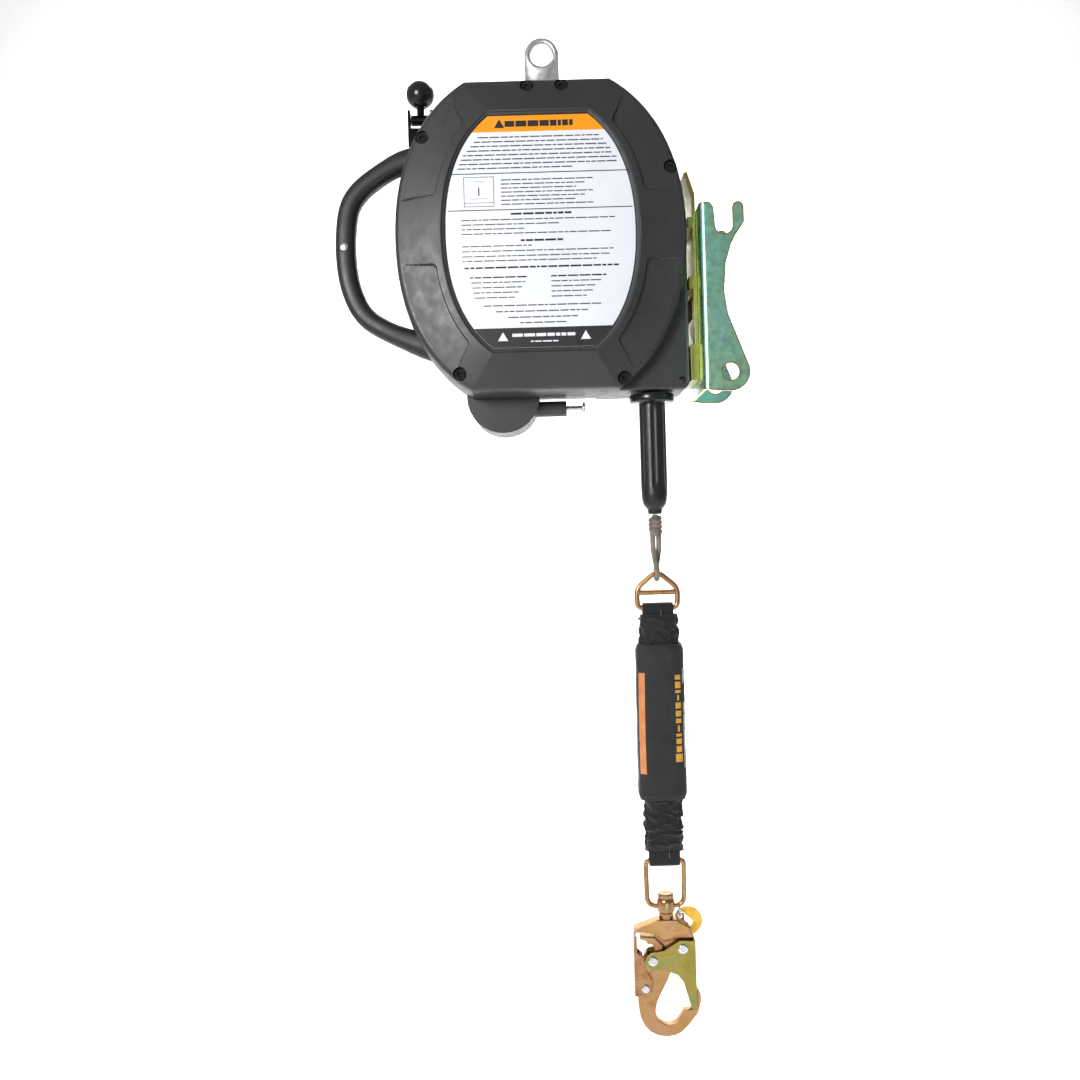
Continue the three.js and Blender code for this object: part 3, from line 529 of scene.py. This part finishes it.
# ---- label, with plain marks in place of print ----
WHITE = moulded("label film", "#dfe2ea", "#e8eaf0", 0.36)
ORANGE = moulded("label orange", "#f09000", "#f39800", 0.34)
INK = moulded("label black", "#141414", "#1c1c1c", 0.4)
GREY_INK = moulded("label grey", "#2e2e30", "#48484c", 0.4)
LABEL_Y = -53.5


def label_half_width(z, inset=3.0):
    share = 1 - abs(z / (144.5 - inset)) ** 2.2
    return (104.5 - inset) * share ** (1 / 2.2)


def label_base():
    rings = [(-52.3, 1.4), (LABEL_Y + 0.1, 1.4), (LABEL_Y, 1.8)]
    obj = loft_case("label_base", [(y, label_outline(i, PLAIN)) for y, i in rings], WHITE)
    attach(obj, "housing")
    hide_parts("label_plate")


def band(name, low, high, material, inset=1.45, y=LABEL_Y - 0.12):
    """A printed band across the label between two heights, following its edge."""
    heights = np.linspace(low, high, 14)
    edge = [label_half_width(z, inset) for z in heights]
    front = [case(w, y, z) for w, z in zip(edge, heights)] + [case(-w, y, z) for w,
                                                              z in zip(edge[::-1], heights[::-1])]
    back = [(x, LABEL_Y + 0.05, z) for x, _, z in front]
    piece(name, *capped([front, back]), material, None, "housing")


def bars(name, specs, material, y=LABEL_Y - 0.1):
    """Small printed rectangles (x0, x1, z0, z1) as one thin piece."""
    verts, faces = [], []
    for x0, x1, z0, z1 in specs:
        s = len(verts)
        verts += [case(x, d, z) for d in (y, LABEL_Y + 0.05) for x,
                  z in ((x0, z0), (x1, z0), (x1, z1), (x0, z1))]
        faces += [tuple(s + i for i in f) for f in grid_faces(2, 4) + [(0, 1, 2, 3), (4, 5, 6, 7)]]
    piece(name, verts, faces, material, None, "housing")


def dashes(z, x0, x1, height=1.1, seed=0):
    """One line of greeked print: dashes of uneven length with word gaps."""
    made, x, i = [], x0, seed * 17 + 3
    while x < x1 - 2:
        i += 1
        length = 3.0 + 9.0 * abs(math.sin(i * 12.9898 + seed))
        end = min(x + length, x1)
        made.append((x, end, z - height / 2, z + height / 2))
        x = end + 1.3
    return made


def label_print():
    fine, bold = [], []
    for k, z in enumerate(np.linspace(103, 69.5, 8)):
        half = min(label_half_width(z) - 3, 66 + 4 * k)
        fine += dashes(z, -half, half - (0 if k < 7 else 50), 1.3, k)
    for k, z in enumerate(np.linspace(56.5, 30, 7)):
        fine += dashes(z, -42, 58 - 9 * (k % 3), 1.2, 10 + k)
    bold += dashes(19.5, -32, 34, 2.2, 31) + dashes(-9.5, -22, 24, 2.2, 32)
    for k, z in enumerate((13.5, 8.5, 3.5, -1.5, -15, -20.5, -26, -31)):
        fine += dashes(z, -86, (84, 20, -18, 76, -10, 82, 74, 60)[k], 1.2, 20 + k)
    bold += dashes(-38.5, -84, 84, 1.9, 40)
    for k, z in enumerate((-49, -54.5, -60, -65.5, -71)):
        target = bold if k == 0 else fine
        target += dashes(z, -78 + k, -14 - 4 * k, 1.6 if k == 0 else 1.2, 50 + k)
        target += dashes(z, 10, 70 - 5 * k, 1.6 if k == 0 else 1.2, 60 + k)
    for k, z in enumerate((-80, -86.5, -93, -99)):
        fine += dashes(z, -(64 - 13 * k), 64 - 13 * k, 1.3, 70 + k)
    bars("label_fine_marks", fine, GREY_INK)
    bars("label_bold_marks", bold, INK)
    rules = [(-100.5, 100.5, z - 0.5, z + 0.5) for z in (63.9, 24.2)]
    frame_lines = [(-82.5, -49.6, 59.9, 60.5), (-82.5, -49.6, 28, 28.6), (-82.5, -81.9, 28, 60.5),
                   (-50.2, -49.6, 28, 60.5), (-82, -50, 32, 32.5), (-71, -61, 55, 55.4),
                   (-76, -56, 36.4, 36.8),
                   (-66.7, -65.4, 40, 49)]
    bars("label_rules", rules + frame_lines, INK)
    band("label_top_band", 108.7, 126.0, ORANGE)
    band("label_foot_band", -126.0, -104.4, INK)
    bars("label_top_marks", dashes(117.2, -36, 38, 6.4, 80), INK, LABEL_Y - 0.2)
    bars("label_foot_marks", dashes(-112.5, -34, 36, 3.4, 90) + dashes(-119.5, -14, 16, 1.4, 91), WHITE,
         LABEL_Y - 0.2)
    for name, x, z, size, ink in (("label_sign_1", -44, -114, 5.6, WHITE),
                                  ("label_sign_2", 46, -114, 5.6, WHITE),
                                  ("label_sign_3", -42, 117.4, 5.6, INK)):
        front = [case(x - size, LABEL_Y - 0.22, z - size * 0.8),
                 case(x + size, LABEL_Y - 0.22, z - size * 0.8),
                 case(x, LABEL_Y - 0.22, z + size * 0.9)]
        piece(name, *capped([front, [(a, LABEL_Y + 0.05, c) for a, _, c in front]]), ink, None, "housing")


label_base()
label_print()


# ---- screws, eye and internal pieces ----
def case_screw(index, x, z):
    head = [(0, -39.6), (2.6, -39.6), (2.9, -40), (2.9, -41.6), (3.3, -42), (5.7, -42), (6.3, -41.4),
            (6.4, -38.4), (3, -38.3), (3, 33.5), (2.6, 34), (0, 34)]
    lathe(f"case_bolt_{index}_form", head, case(x, 0, z), "y", SCREW_BLACK_AND_HOLE_SHADE, f"case_bolt_{index}", sides=36)


for number, (px, pz) in enumerate(SCREWS, 1):
    case_screw(number, px, pz)


def anchor_eye():
    """A forged lug: round eye with soft edges on a flat stem that widens inside the housing."""
    hx, hz = -HOUSING_X, -HOUSING_Z
    steps = 96
    rings = []
    for turn in np.linspace(0, 2 * math.pi, 28, endpoint=False):
        rings.append((math.cos(turn), math.sin(turn)))
    verts = []
    for i in range(steps):
        a = 2 * math.pi * i / steps
        for u, v in rings:
            radial = 16.0 + 3.5 * math.copysign(abs(u) ** 0.62, u)
            verts.append(case(hx + radial * math.cos(a), 6.0 * math.copysign(abs(v) ** 0.62, v),
                              hz + radial * math.sin(a)))
    faces = grid_faces(steps, 28) + [((steps - 1) * 28 + c, (steps - 1) * 28 + (c + 1) % 28, (c + 1) % 28, c)
                                     for c in range(28)]
    eye = piece("anchor_eye_form", verts, faces, GALVANISED, None, None, 50)
    stem = [(hx + 19.4, hz - 1), (hx + 19.4, 169), (43, 169), (43, 146), (-27, 146), (-27, 169),
            (hx - 19.4, 169),
            (hx - 19.4, hz - 1)]
    body = piece("tool", *capped([[case(x, y, z) for x, z in stem] for y in (-5.9, 5.9)]), None)
    cut(body, rods([(hx, hz, 14.0, -9, 9)]))
    cut(eye, body, "UNION")
    cut(eye, rods([(x, z, 3.4, -30, 30) for x, z in SCREWS[:2]]))
    edge = eye.modifiers.new("edge", "BEVEL")
    edge.width, edge.segments, edge.angle_limit = 1.3 * MM, 3, math.radians(50)
    smooth(eye.data, 45)
    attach(eye, "housing")
    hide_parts("anchor_eye")


anchor_eye()
INSIDE = {"front_frame_plate": DARK_ZINC, "rear_frame_plate": DARK_ZINC, "main_shaft": BRIGHT,
          "front_bearing": BRONZE,
          "rear_bearing": BRONZE, "rope_drum": CAST, "wound_rope": ROPE, "drum_gear": CAST,
          "spring_case": DARK_ZINC,
          "power_spring": BRIGHT, "ratchet_ring": CAST, "brake_hub": CAST, "brake_pawl_1": BRIGHT,
          "brake_pawl_2": BRIGHT, "crank_shaft": BRIGHT, "crank_pinion": BRIGHT, "knob_pivot_pin": BRIGHT,
          "crank_hub_nut": BLACK_STEEL, "knob_stem": BLACK_STEEL, "lifeline_rope": ROPE}
for cad_node, finish in INSIDE.items():
    refined(cad_node, finish, 0.3)


# ---- retrieval crank, gear case and carry handle ----
CRANK_X, CRANK_Z = -48.3, -170.8
KNOB_Y = 71.5


def ball_knob():
    ball = [(17 * math.cos(a), 207.3 + 17 * math.sin(a)) for a in np.radians(np.linspace(-66, 88, 26))]
    profile = [(4.8, 191.5), (6.6, 191.5)] + ball + [(0, 224.2), (0, 215.7), (4.8, 215.5)]
    lathe("ball_knob_form", profile, case(-142, KNOB_Y, 0), "z", GLOSS, "ball_knob", sides=56, angle=60)


def handle_section(_, t):
    """Flattened oval grip that thickens where it joins the housing."""
    flare = max(0.0, 1 - min(t, 1 - t) / 0.2)
    in_plane = 11.4 + 7.5 * flare * flare
    points = []
    for a in np.linspace(0, 2 * math.pi, 44, endpoint=False):
        c, s = math.cos(a), math.sin(a)
        points.append((12.3 * math.copysign(abs(c) ** 0.72, c), in_plane * math.copysign(abs(s) ** 0.8, s)))
    return points


def carry_handle():
    route = [(-118, 104), (-138, 101), (-158, 97), (-182, 84), (-205, 66), (-218, 44), (-222.5, 5),
             (-220, -33), (-211, -62),
             (-198, -80), (-178, -93), (-156, -103), (-136, -110), (-116, -114)]
    line = smoothed([case(x, 0, z) for x, z in route], 120)
    grip = piece("carry_handle_form", *swept(line, handle_section), GRIP, None, None, 40)
    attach(grip, "housing")
    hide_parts("carry_handle")
    lathe("handle_stud", [(0, -12.9), (3.4, -12.9), (4.4, -12.5), (4.6, -11), (0, -11)], case(-222.3, 0, 1),
          "y",
          BRIGHT, None, "housing", 32)


def plunger():
    """The pin that shifts the retrieval gear; its length runs along X."""
    profile = [(0, -14), (3, -14), (3, 41.2), (4.2, 42.2), (6.6, 42.6), (7, 43.2), (7, 45), (6.6, 45.5),
               (0, 45.5)]
    low, high = np.array(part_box("shift_plunger")) / MM
    start = (low[0] + 14, (low[1] + high[1]) / 2, (low[2] + high[2]) / 2)
    lathe("shift_plunger_form", profile, start, "x", BRIGHT, "shift_plunger", sides=40)


refined("gear_case", PLASTIC, 1.2, 3, 35)
ball_knob()
carry_handle()
plunger()
refined("crank_arm", BLACK_STEEL, 0.9, 3, 30)


# ---- side bracket ----
def bracket_channel():
    """The folded bracket with round outer bends where its web turns into the flanges."""
    channel = refined("bracket_channel", TEAL, 0)
    for side in (-1, 1):
        bend = [(179 - 6 * math.sin(a), side * (48 + 6 * math.cos(a)))
                for a in np.linspace(0, math.pi / 2, 12)]
        section = [(172.4, side * 54.6), (179, side * 54.6)] + bend + [(172.4, side * 48)]
        cut(channel, piece("tool", *capped([[case(x, y, z) for x, y in section] for z in (-190, 40)]), None))
    edge = channel.modifiers.new("edge", "BEVEL")
    edge.width, edge.segments, edge.limit_method, edge.angle_limit = 0.6 * MM, 2, "ANGLE", math.radians(40)
    smooth(channel.data, 30)


bracket_channel()
refined("mounting_plate", OLIVE, 0.5, 2, 25)
for number in (1, 2):
    refined(f"bracket_bolt_{number}", BRIGHT, 0.4, 2, 25)

# ---- nozzle, bumper and rope ----
lathe("line_nozzle_form", [(9, -399), (23, -399), (25, -397.6), (25.5, -395.5), (25.5, -390.6),
                           (24.6, -389.2),
                           (22, -388.8), (12, -388.8), (10.6, -387), (10.6, -378), (9, -378)],
      (LINE_X, 0, 0), "z", GLOSS, "line_nozzle", sides=80)


def bumper():
    """A rubber sleeve with six long shallow flats that run out above its rounded foot."""
    profile = [(-399.4, 14.6), (-400.2, 15), (-410, 15), (-485, 14.9), (-496, 14.9), (-503, 14.7),
               (-510, 13.9),
               (-514.5, 12.6), (-517, 10.9), (-518.2, 9.6), (-519.5, 8.6), (-521.5, 8.1), (-524.4, 7.8),
               (-525, 7.2)]
    heights = np.concatenate([np.linspace(-399.4, -485, 30), np.linspace(-487, -525, 34)])
    rows, along, radii = [], [-p[0] for p in profile], [p[1] for p in profile]
    for z in heights:
        radius = np.interp(-z, along, radii)
        fade = min(max((z + 499) / 12, 0), 1) * min(max((-401 - z) / 4, 0), 1)
        row = []
        for a in np.linspace(0, 2 * math.pi, 96, endpoint=False):
            dip = 1.15 * max(0.0, math.cos(6 * a + math.pi)) ** 1.5 * fade
            row.append((LINE_X + (radius - dip) * math.cos(a), (radius - dip) * math.sin(a), z))
        rows.append(row)
    inner = [[(LINE_X + 3.4 * math.cos(a), 3.4 * math.sin(a), z)
              for a in np.linspace(0, 2 * math.pi, 96, endpoint=False)]
             for z in (-525, -399.4)]
    rows += inner
    verts = [p for row in rows for p in row]
    faces = grid_faces(len(rows), 96)
    last = (len(rows) - 1) * 96
    faces += [(last + c, last + (c + 1) % 96, (c + 1) % 96, c) for c in range(96)]
    piece("bumper_form", verts, faces, RUBBER, "bumper_sleeve", None, 50)


def braid(radius, length, pitch=17.0, strands=8, sides=40, rise=0.28):
    """Section of a braided rope: strands that climb both ways and cross over each other."""
    def section(_, t):
        points = []
        for a in np.linspace(0, 2 * math.pi, sides, endpoint=False):
            turn = 2 * math.pi * t * length / pitch
            one, two = math.cos(strands / 2 * (a + turn)), math.cos(strands / 2 * (a - turn))
            over = 0.5 + 0.5 * math.sin(strands / 2 * a) * math.sin(strands / 2 * turn)
            high = max(abs(one) * over, abs(two) * (1 - over))
            r = radius - rise + 1.5 * rise * high
            points.append((r * math.cos(a), r * math.sin(a)))
        return points
    return section


EYE_ROUTE = [(-3.4, 0, -546), (-3.4, -0.4, -558), (-3.2, -2, -566), (-2, -4.6, -576), (-0.6, -6.4, -584),
             (0, -6.9, -590), (0, -5.6, -595.5), (0, -2.2, -598.6), (0, 2.2, -598.6), (0, 5.6, -595.5),
             (0, 6.9, -590), (0.6, 6.4, -584), (2, 4.6, -576), (3.2, 2, -566), (3.4, 0.4, -558),
             (3.4, 0, -546)]


def rope_eye():
    line = smoothed([(LINE_X + x, y, z) for x, y, z in EYE_ROUTE], 150)
    length = float(np.sum(np.linalg.norm(np.diff(line, axis=0), axis=1)))
    verts, faces = swept(line, braid(ROPE_RADIUS, length), up=(1, 0, 0.01))
    obj = piece("rope_eye_form", verts, faces, ROPE, "rope_eye", None, 70)


def rope_knot():
    """Coils of the same rope wrapped round the two strands, above the eye."""
    turns, coil_radius = 3.4, 4.9
    line = np.array([(LINE_X + coil_radius * math.cos(a), coil_radius * math.sin(a),
                      -529.6 - 17.4 * a / (2 * math.pi * turns))
                     for a in np.linspace(0, 2 * math.pi * turns, 150)])
    section = braid(ROPE_RADIUS, 2 * math.pi * coil_radius * turns)
    piece("rope_knot_form", *swept(line, section, up=(0, 0, 1)), ROPE, "rope_knot", None, 70)
    lathe("rope_knot_core", [(0, -525.8), (3.0, -525.8), (4.2, -529), (5, -538), (5.4, -548), (4.6, -550.4),
                             (0, -550.7)],
                 (LINE_X, 0, 0), "z", ROPE, None, BODY_OF["rope_knot"], 32, 70)


bumper()
rope_eye()
rope_knot()


# ---- tri-ring and bail ----
def rounded_path(corners, radius, steps=7):
    """A closed path (x, z) with every corner rounded."""
    path = []
    for i in range(len(corners)):
        p, c, n = (np.array(corners[k % len(corners)], float) for k in (i - 1, i, i + 1))
        r = radius[i] if hasattr(radius, "__len__") else radius
        a, b = (p - c) / np.linalg.norm(p - c), (n - c) / np.linalg.norm(n - c)
        for t in np.linspace(0, 1, steps):
            path.append((1 - t) ** 2 * (c + a * r) + 2 * t * (1 - t) * c + t * t * (c + b * r))
    return path


def wire_loop(name, corners, radius, wire, material, node=None, body=None):
    line = smoothed([(LINE_X + x, 0, z) for x, z in rounded_path(corners, radius)], 160, closed=True)
    return piece(name, *swept(line, ring_section(wire, 24), closed=True), material, node, body, 60)


def tri_ring():
    corners = [(0, -589.8), (23.4, -609.5), (22.6, -632.1), (-22.6, -632.1), (-23.4, -609.5)]
    wire_loop("tri_ring_form", corners, [9, 8, 7, 7, 8], 3.0, GOLD, "tri_ring")
    bar = np.array([(LINE_X + x, 0, -614.2) for x in np.linspace(-23.6, 23.6, 12)])
    piece("tri_ring_bar", *swept(bar, ring_section(2.9, 24)), GOLD, None, BODY_OF["tri_ring"], 60)


def bail():
    corners = [(-21.6, -919.7), (21.6, -919.7), (21.0, -971.1), (-21.0, -971.1)]
    wire_loop("bail_form", corners, [5, 5, 11, 11], 2.8, COPPER, "bail")
    profile = [(5.4, -978), (8.6, -978), (9.8, -976.6), (10, -974.5), (10, -966), (9.5, -963.4), (8.2, -962),
               (5.4, -962)]
    lathe("bail_boss", profile, (LINE_X, 0, 0), "z", COPPER, None, BODY_OF["bail"], 48)


tri_ring()
bail()


# ---- straps ----
def strap(name, bar_z, end_z, node):
    """Webbing folded over a bar: two legs, ribbed across, with rounded edges."""
    down = end_z < bar_z
    sign = 1 if down else -1
    route = [(-5.0, end_z)] + [(-5.0, z) for z in np.linspace(end_z, bar_z, 8)[1:]]
    route += [(-5.0 * math.cos(a), bar_z + sign * 5.0 * math.sin(a))
              for a in np.linspace(0, math.pi, 9)[1:-1]]
    route += [(5.0, z) for z in np.linspace(bar_z, end_z, 9)]
    line = smoothed([(LINE_X, y, z) for y, z in route], 150)
    half, thick = 17.4, 1.35

    def section(i, _):
        rib = 0.14 * math.sin(i * 1.9)
        edge = [(half * math.copysign(min(1, abs(math.cos(a)) ** 0.28), math.cos(a)),
                 (thick + rib) * math.copysign(abs(math.sin(a)) ** 0.55, math.sin(a)))
                for a in np.linspace(0, 2 * math.pi, 28, endpoint=False)]
        return edge

    piece(name, *swept(line, section, up=(1, 0, 0)), WEBBING, node, None, 50)


THREAD = cloth("tan thread", "#9a7b4a", "#bd9a62", 0.6, 0.1, 0.7)


def stitches(name, points, body, length=2.4, across=(1, 0, 0), radius=0.38, material=None):
    """Short raised threads: each point is a stitch's middle, laid along the line of the points."""
    verts, faces = [], []
    pts = [np.array(p, float) for p in points]
    for k, p in enumerate(pts):
        q = pts[min(k + 1, len(pts) - 1)] - pts[max(k - 1, 0)]
        q /= np.linalg.norm(q)
        bow = np.cross(q, across)
        line = np.array([p + q * length * (t - 0.5) for t in np.linspace(0, 1, 5)])
        tube, skin = swept(line, lambda i, t: [(radius * (0.55 + 0.45 * math.sin(math.pi * t)) * math.cos(a),
                                                radius * (0.55 + 0.45 * math.sin(math.pi * t)) * math.sin(a))
                                               for a in np.linspace(0, 2 * math.pi, 7, endpoint=False)],
                           up=bow)
        start = len(verts)
        verts += list(tube)
        faces += [tuple(start + i for i in f) for f in skin]
    return piece(name, verts, faces, material or THREAD, None, body, 60)


strap("upper_strap_form", -632.1, -689, "upper_strap")
strap("lower_strap_form", -919.7, -832.5, "lower_strap")
stitches("upper_strap_stitches", [(LINE_X + 3, -6.6, z) for z in np.arange(-636, -645, -3.0)], "absorber")
stitches("lower_strap_stitches", [(LINE_X + 5, -6.6, z) for z in np.arange(-896, -917, -3.0)], "absorber")


# ---- absorber pack, its cover and the two gaiters ----
def cloth_tube(name, node, z_top, z_bottom, half_x, half_y, wall, wrinkle, material, rows, corner=2.6):
    """A sewn sleeve: outer and inner skin with folds pressed into both."""
    columns = 150

    def skin(grow, z, t):
        ring = []
        for a in np.linspace(0, 2 * math.pi, columns, endpoint=False):
            c, s = math.cos(a), math.sin(a)
            x = (half_x + grow) * math.copysign(abs(c) ** (2 / corner), c)
            y = (half_y + grow) * math.copysign(abs(s) ** (2 / corner), s)
            fold = wrinkle(x, y, z, t)
            ring.append((LINE_X + x * (1 + fold / half_x), y * (1 + fold / half_y), z))
        return ring

    heights = np.linspace(z_top, z_bottom, rows)
    outer = [skin(0, z, i / (rows - 1)) for i, z in enumerate(heights)]
    inner = [skin(-wall, z, i / (rows - 1)) for i, z in enumerate(heights)][::-1]
    verts = [p for row in outer + inner for p in row]
    faces = grid_faces(2 * rows, columns)
    last = (2 * rows - 1) * columns
    faces += [(last + c, last + (c + 1) % columns, (c + 1) % columns, c) for c in range(columns)]
    return piece(name, verts, faces, material, node, None, 80)


def crumple(seed, depth, bunch):
    """Bunched folds that run across a gaiter, tighter where it is gathered."""
    def fold(x, y, z, t):
        p = Vector((x * 0.035, y * 0.05, z * 0.085 + seed))
        warp = noise.noise(Vector((x * 0.05, y * 0.05, z * 0.03 + seed))) * 1.4
        ridge = 1 - abs(math.sin(z * 0.24 + warp * 3 + x * 0.045 + noise.noise(p) * 2.2))
        wide = noise.noise(p * 1.7)
        small = noise.noise(Vector((x * 0.16, y * 0.16, z * 0.22 + seed)))
        return depth * (0.75 * (ridge**1.5 - 0.5) + 0.5 * wide + 0.28
                        * small) * (1 + bunch * math.sin(math.pi * t)) - 1.2
    return fold


def cover_folds(x, y, z, t):
    """A taut sleeve with slack near its ends."""
    p = Vector((x * 0.03, y * 0.03, z * 0.022 + 5))
    slack = 0.35 + 0.65 * abs(2 * t - 1) ** 3
    gather = -2.2 * max(0, abs(2 * t - 1) - 0.93) / 0.07
    return 1.9 * slack * noise.noise(p) + 0.5 * noise.noise(p * 4) + gather


pack_form = refined("absorber_pack", WEBBING, 1.5, 3)
upper = cloth_tube("upper_gaiter_form", "upper_gaiter", -639.5, -674.2, 23, 14, 1.3, crumple(3, 3.4, 0.2),
                   GAITER, 70)
lower = cloth_tube("lower_gaiter_form", "lower_gaiter", -848, -907.5, 22.4, 14, 1.3, crumple(11, 3.2, 0.3),
                   GAITER, 110)
sleeve = cloth_tube("absorber_cover_form", "absorber_cover", COVER_TOP, COVER_FOOT, 27.2, 15.6, 1.6,
                    cover_folds, RIPSTOP,
                    150, 3.4)
STRIPE = cloth("stripe tape", "#c9773f", "#dd935c", 1.0, 0.08, 0.6)
MARK = cloth("yellow print", "#c08a26", "#e0a438", 1.0, 0.05, 0.6)
PALE = cloth("pale tape", "#9aa2ad", "#c4ccd6", 1.0, 0.08, 0.55)


def tape(name, x_of, width, z0, z1, material, steps=60):
    """A strip sewn to the front of the cover, lying on its folds."""
    rows = []
    for z in np.linspace(z0, z1, steps):
        t = (COVER_TOP - z) / (COVER_TOP - COVER_FOOT)
        row = []
        for x in np.linspace(x_of(z) - width / 2, x_of(z) + width / 2, 6):
            depth = front_depth(x, z, t)
            row.append((LINE_X + x, depth - 0.35, z))
        row += [(px, py + 0.7, pz) for px, py, pz in row[::-1]]
        rows.append(row)
    piece(name, *capped(rows), material, None, "absorber", 60)


def front_depth(x, z, t):
    """y of the cover's front skin at x."""
    share = min(abs(x) / 27.2, 0.999)
    y = -15.6 * (1 - share**3.4) ** (1 / 3.4)
    fold = cover_folds(x, y, z, t)
    return y * (1 + fold / 15.6)


tape("cover_stripe", lambda z: -21.3 + 0.9 * math.sin((z + 700) * 0.02), 6.6, -704, -818, STRIPE)
tape("cover_edge_tape", lambda z: 25.3, 1.6, -700, -812, PALE)


def cover_marks():
    """Plain printed blocks down the cover's right side, where the real one has print."""
    z, k = -707.0, 0
    while z > -790:
        k += 1
        length = (6.5, 5.2, 7.2, 3.0, 6.0, 6.8)[k % 6]
        tape(f"cover_mark_{k}", lambda _: 18.8, 6.2 if k % 4 else 2.2, z, z - length, MARK, 6)
        z -= length + 2.4
    tape("cover_sign", lambda _: 18.6, 8, -796, -805, MARK, 8)


cover_marks()


def hem(name, z):
    """A line of stitches round the front of the cover."""
    t = (COVER_TOP - z) / (COVER_TOP - COVER_FOOT)
    points = [(LINE_X + x, front_depth(x, z, t) - 0.15, z) for x in np.arange(-23, 23.1, 3.2)]
    stitches(name, points, "absorber", 2.3, (0, 1, 0), 0.3, WEBBING)


hem("cover_hem_top", -679)
hem("cover_hem_foot", -841)


# ---- snap hook ----
def hook_body():
    """The forged hook: the CAD form with its edges worn round."""
    obj = refined("hook_body", GOLD, 0)
    remesh = obj.modifiers.new("remesh", "REMESH")
    remesh.mode, remesh.voxel_size = "VOXEL", 0.75 * MM
    relax = obj.modifiers.new("relax", "SMOOTH")
    relax.factor, relax.iterations = 0.5, 9
    applied(obj)
    smooth(obj.data, 80)


hook_body()
refined("lock_lever", COPPER, 0.5, 2, 28)
refined("hook_gate", OLIVE, 0.6, 3, 28)
refined("inspection_tag", YELLOW, 0.3, 2, 28)


def rivet(name, x, z, reach, head):
    profile = [(0, -reach - 2.4), (head * 0.3, -reach - 2.0), (head * 0.42, -reach - 2.3),
               (head * 0.8, -reach - 2.2),
               (head, -reach - 1.3), (head, -reach - 0.3), (3, -reach - 0.3)]
    profile += [(r, -y) for r, y in profile[::-1]]
    lathe(name + "_form", profile, (LINE_X + x, 0, -995 + z), "y", BRIGHT, name, sides=36)


rivet("gate_rivet", 17, -22.2, 10.4, 5.5)
rivet("lock_rivet", -17, -35.4, 10.4, 5.5)
rivet("lever_rivet", -25.9, -67, 8.4, 4.6)
lathe("swivel_stud_form", [(0, -1000.5), (5, -1000.5), (5, -984.8), (7.6, -984.8), (8, -984.2), (8, -979),
                           (7.4, -978.3),
                           (5, -978.3), (5, -961.7), (8.6, -961.7), (9, -961), (9, -957.8), (8, -956.7),
                           (0, -956.5)],
      (LINE_X, 0, 0), "z", COPPER, "swivel_stud", sides=44)
split = smoothed([(LINE_X + 17, 12.2 + 6 * math.cos(a), -982.4 + 6 * math.sin(a))
                  for a in np.linspace(0, 2 * math.pi, 24, endpoint=False)], 90, closed=True)
piece("split_ring_form", *swept(split, ring_section(1.0, 14), closed=True, up=(1, 0, 0)), BRIGHT,
      "split_ring")


# ---- camera, light and floor ----
def camera(position=(-0.0008, -1.1302, -0.5473), pitch=0.02, roll=-1.586, lens=33.05,
           shift=(-0.0129, -0.0037)):
    data = bpy.data.cameras.new("camera")
    data.lens, data.sensor_width = lens, 36.0
    data.shift_x, data.shift_y = shift
    obj = bpy.data.objects.new("camera", data)
    bpy.context.scene.collection.objects.link(obj)
    obj.location = position
    turn = Matrix.Rotation(math.radians(90 + pitch), 4, "X") @ Matrix.Rotation(math.radians(roll), 4, "Z")
    obj.rotation_euler = turn.to_euler()
    bpy.context.scene.camera = obj


def area_light(name, position, target, size, watts, tint=(1, 1, 1)):
    data = bpy.data.lights.new(name, "AREA")
    data.shape, data.size, data.energy, data.color = "DISK", size, watts, tint
    obj = bpy.data.objects.new(name, data)
    bpy.context.scene.collection.objects.link(obj)
    obj.location = position
    obj.rotation_euler = (Vector(target) - Vector(position)).to_track_quat("-Z", "Y").to_euler()


def backdrop():
    """A plain white floor that curves up into a wall."""
    side = [(y, -1.45) for y in np.linspace(-5, 2.2, 6)]
    side += [(2.2 + 1.2 * math.sin(a), -0.25 - 1.2 * math.cos(a))
             for a in np.linspace(0, math.pi / 2, 12)[1:]]
    side += [(3.4, z) for z in (1.5, 4.5)]
    verts = [(x, y, z) for y, z in side for x in (-6, 6)]
    mesh = bpy.data.meshes.new("backdrop")
    mesh.from_pydata(verts, [], [(2 * i, 2 * i + 1, 2 * i + 3, 2 * i + 2) for i in range(len(side) - 1)])
    floor = bpy.data.objects.new("backdrop", mesh)
    bpy.context.scene.collection.objects.link(floor)
    paint = Surface("backdrop white", "#ffffff", 0.9)
    paint.roughness(paint.noise(3), 0.85, 0.95)
    mesh.materials.append(paint.material)
    smooth(mesh, 60)


def world(strength, left=1.25, right=0.7):
    """An even studio surround that is brighter on the left."""
    sky = bpy.data.worlds.new("studio")
    bpy.context.scene.world = sky
    sky.use_nodes = True
    nodes, links = sky.node_tree.nodes, sky.node_tree.links
    nodes["Background"].inputs["Color"].default_value = (0.97, 0.985, 1, 1)
    split = nodes.new("ShaderNodeSeparateXYZ")
    links.new(nodes.new("ShaderNodeTexCoord").outputs["Generated"], split.inputs[0])
    spread = nodes.new("ShaderNodeMapRange")
    for limit, value in (("From Min", -0.9), ("From Max", 0.9),
                         ("To Min", left * strength), ("To Max", right * strength)):
        spread.inputs[limit].default_value = value
    links.new(split.outputs["X"], spread.inputs["Value"])
    links.new(spread.outputs["Result"], nodes["Background"].inputs["Strength"])


camera()
backdrop()
world(0.38)
area_light("key", (-0.95, -1.7, -0.05), (0, 0, -0.25), 0.7, 31)
area_light("low front", (0.35, -1.5, -1.35), (0.11, 0, -0.95), 0.7, 2.4)
area_light("wall light", (0, 1.4, 1.6), (0, 3.2, -0.6), 2.6, 150)
bpy.context.scene.view_settings.view_transform = "Standard"
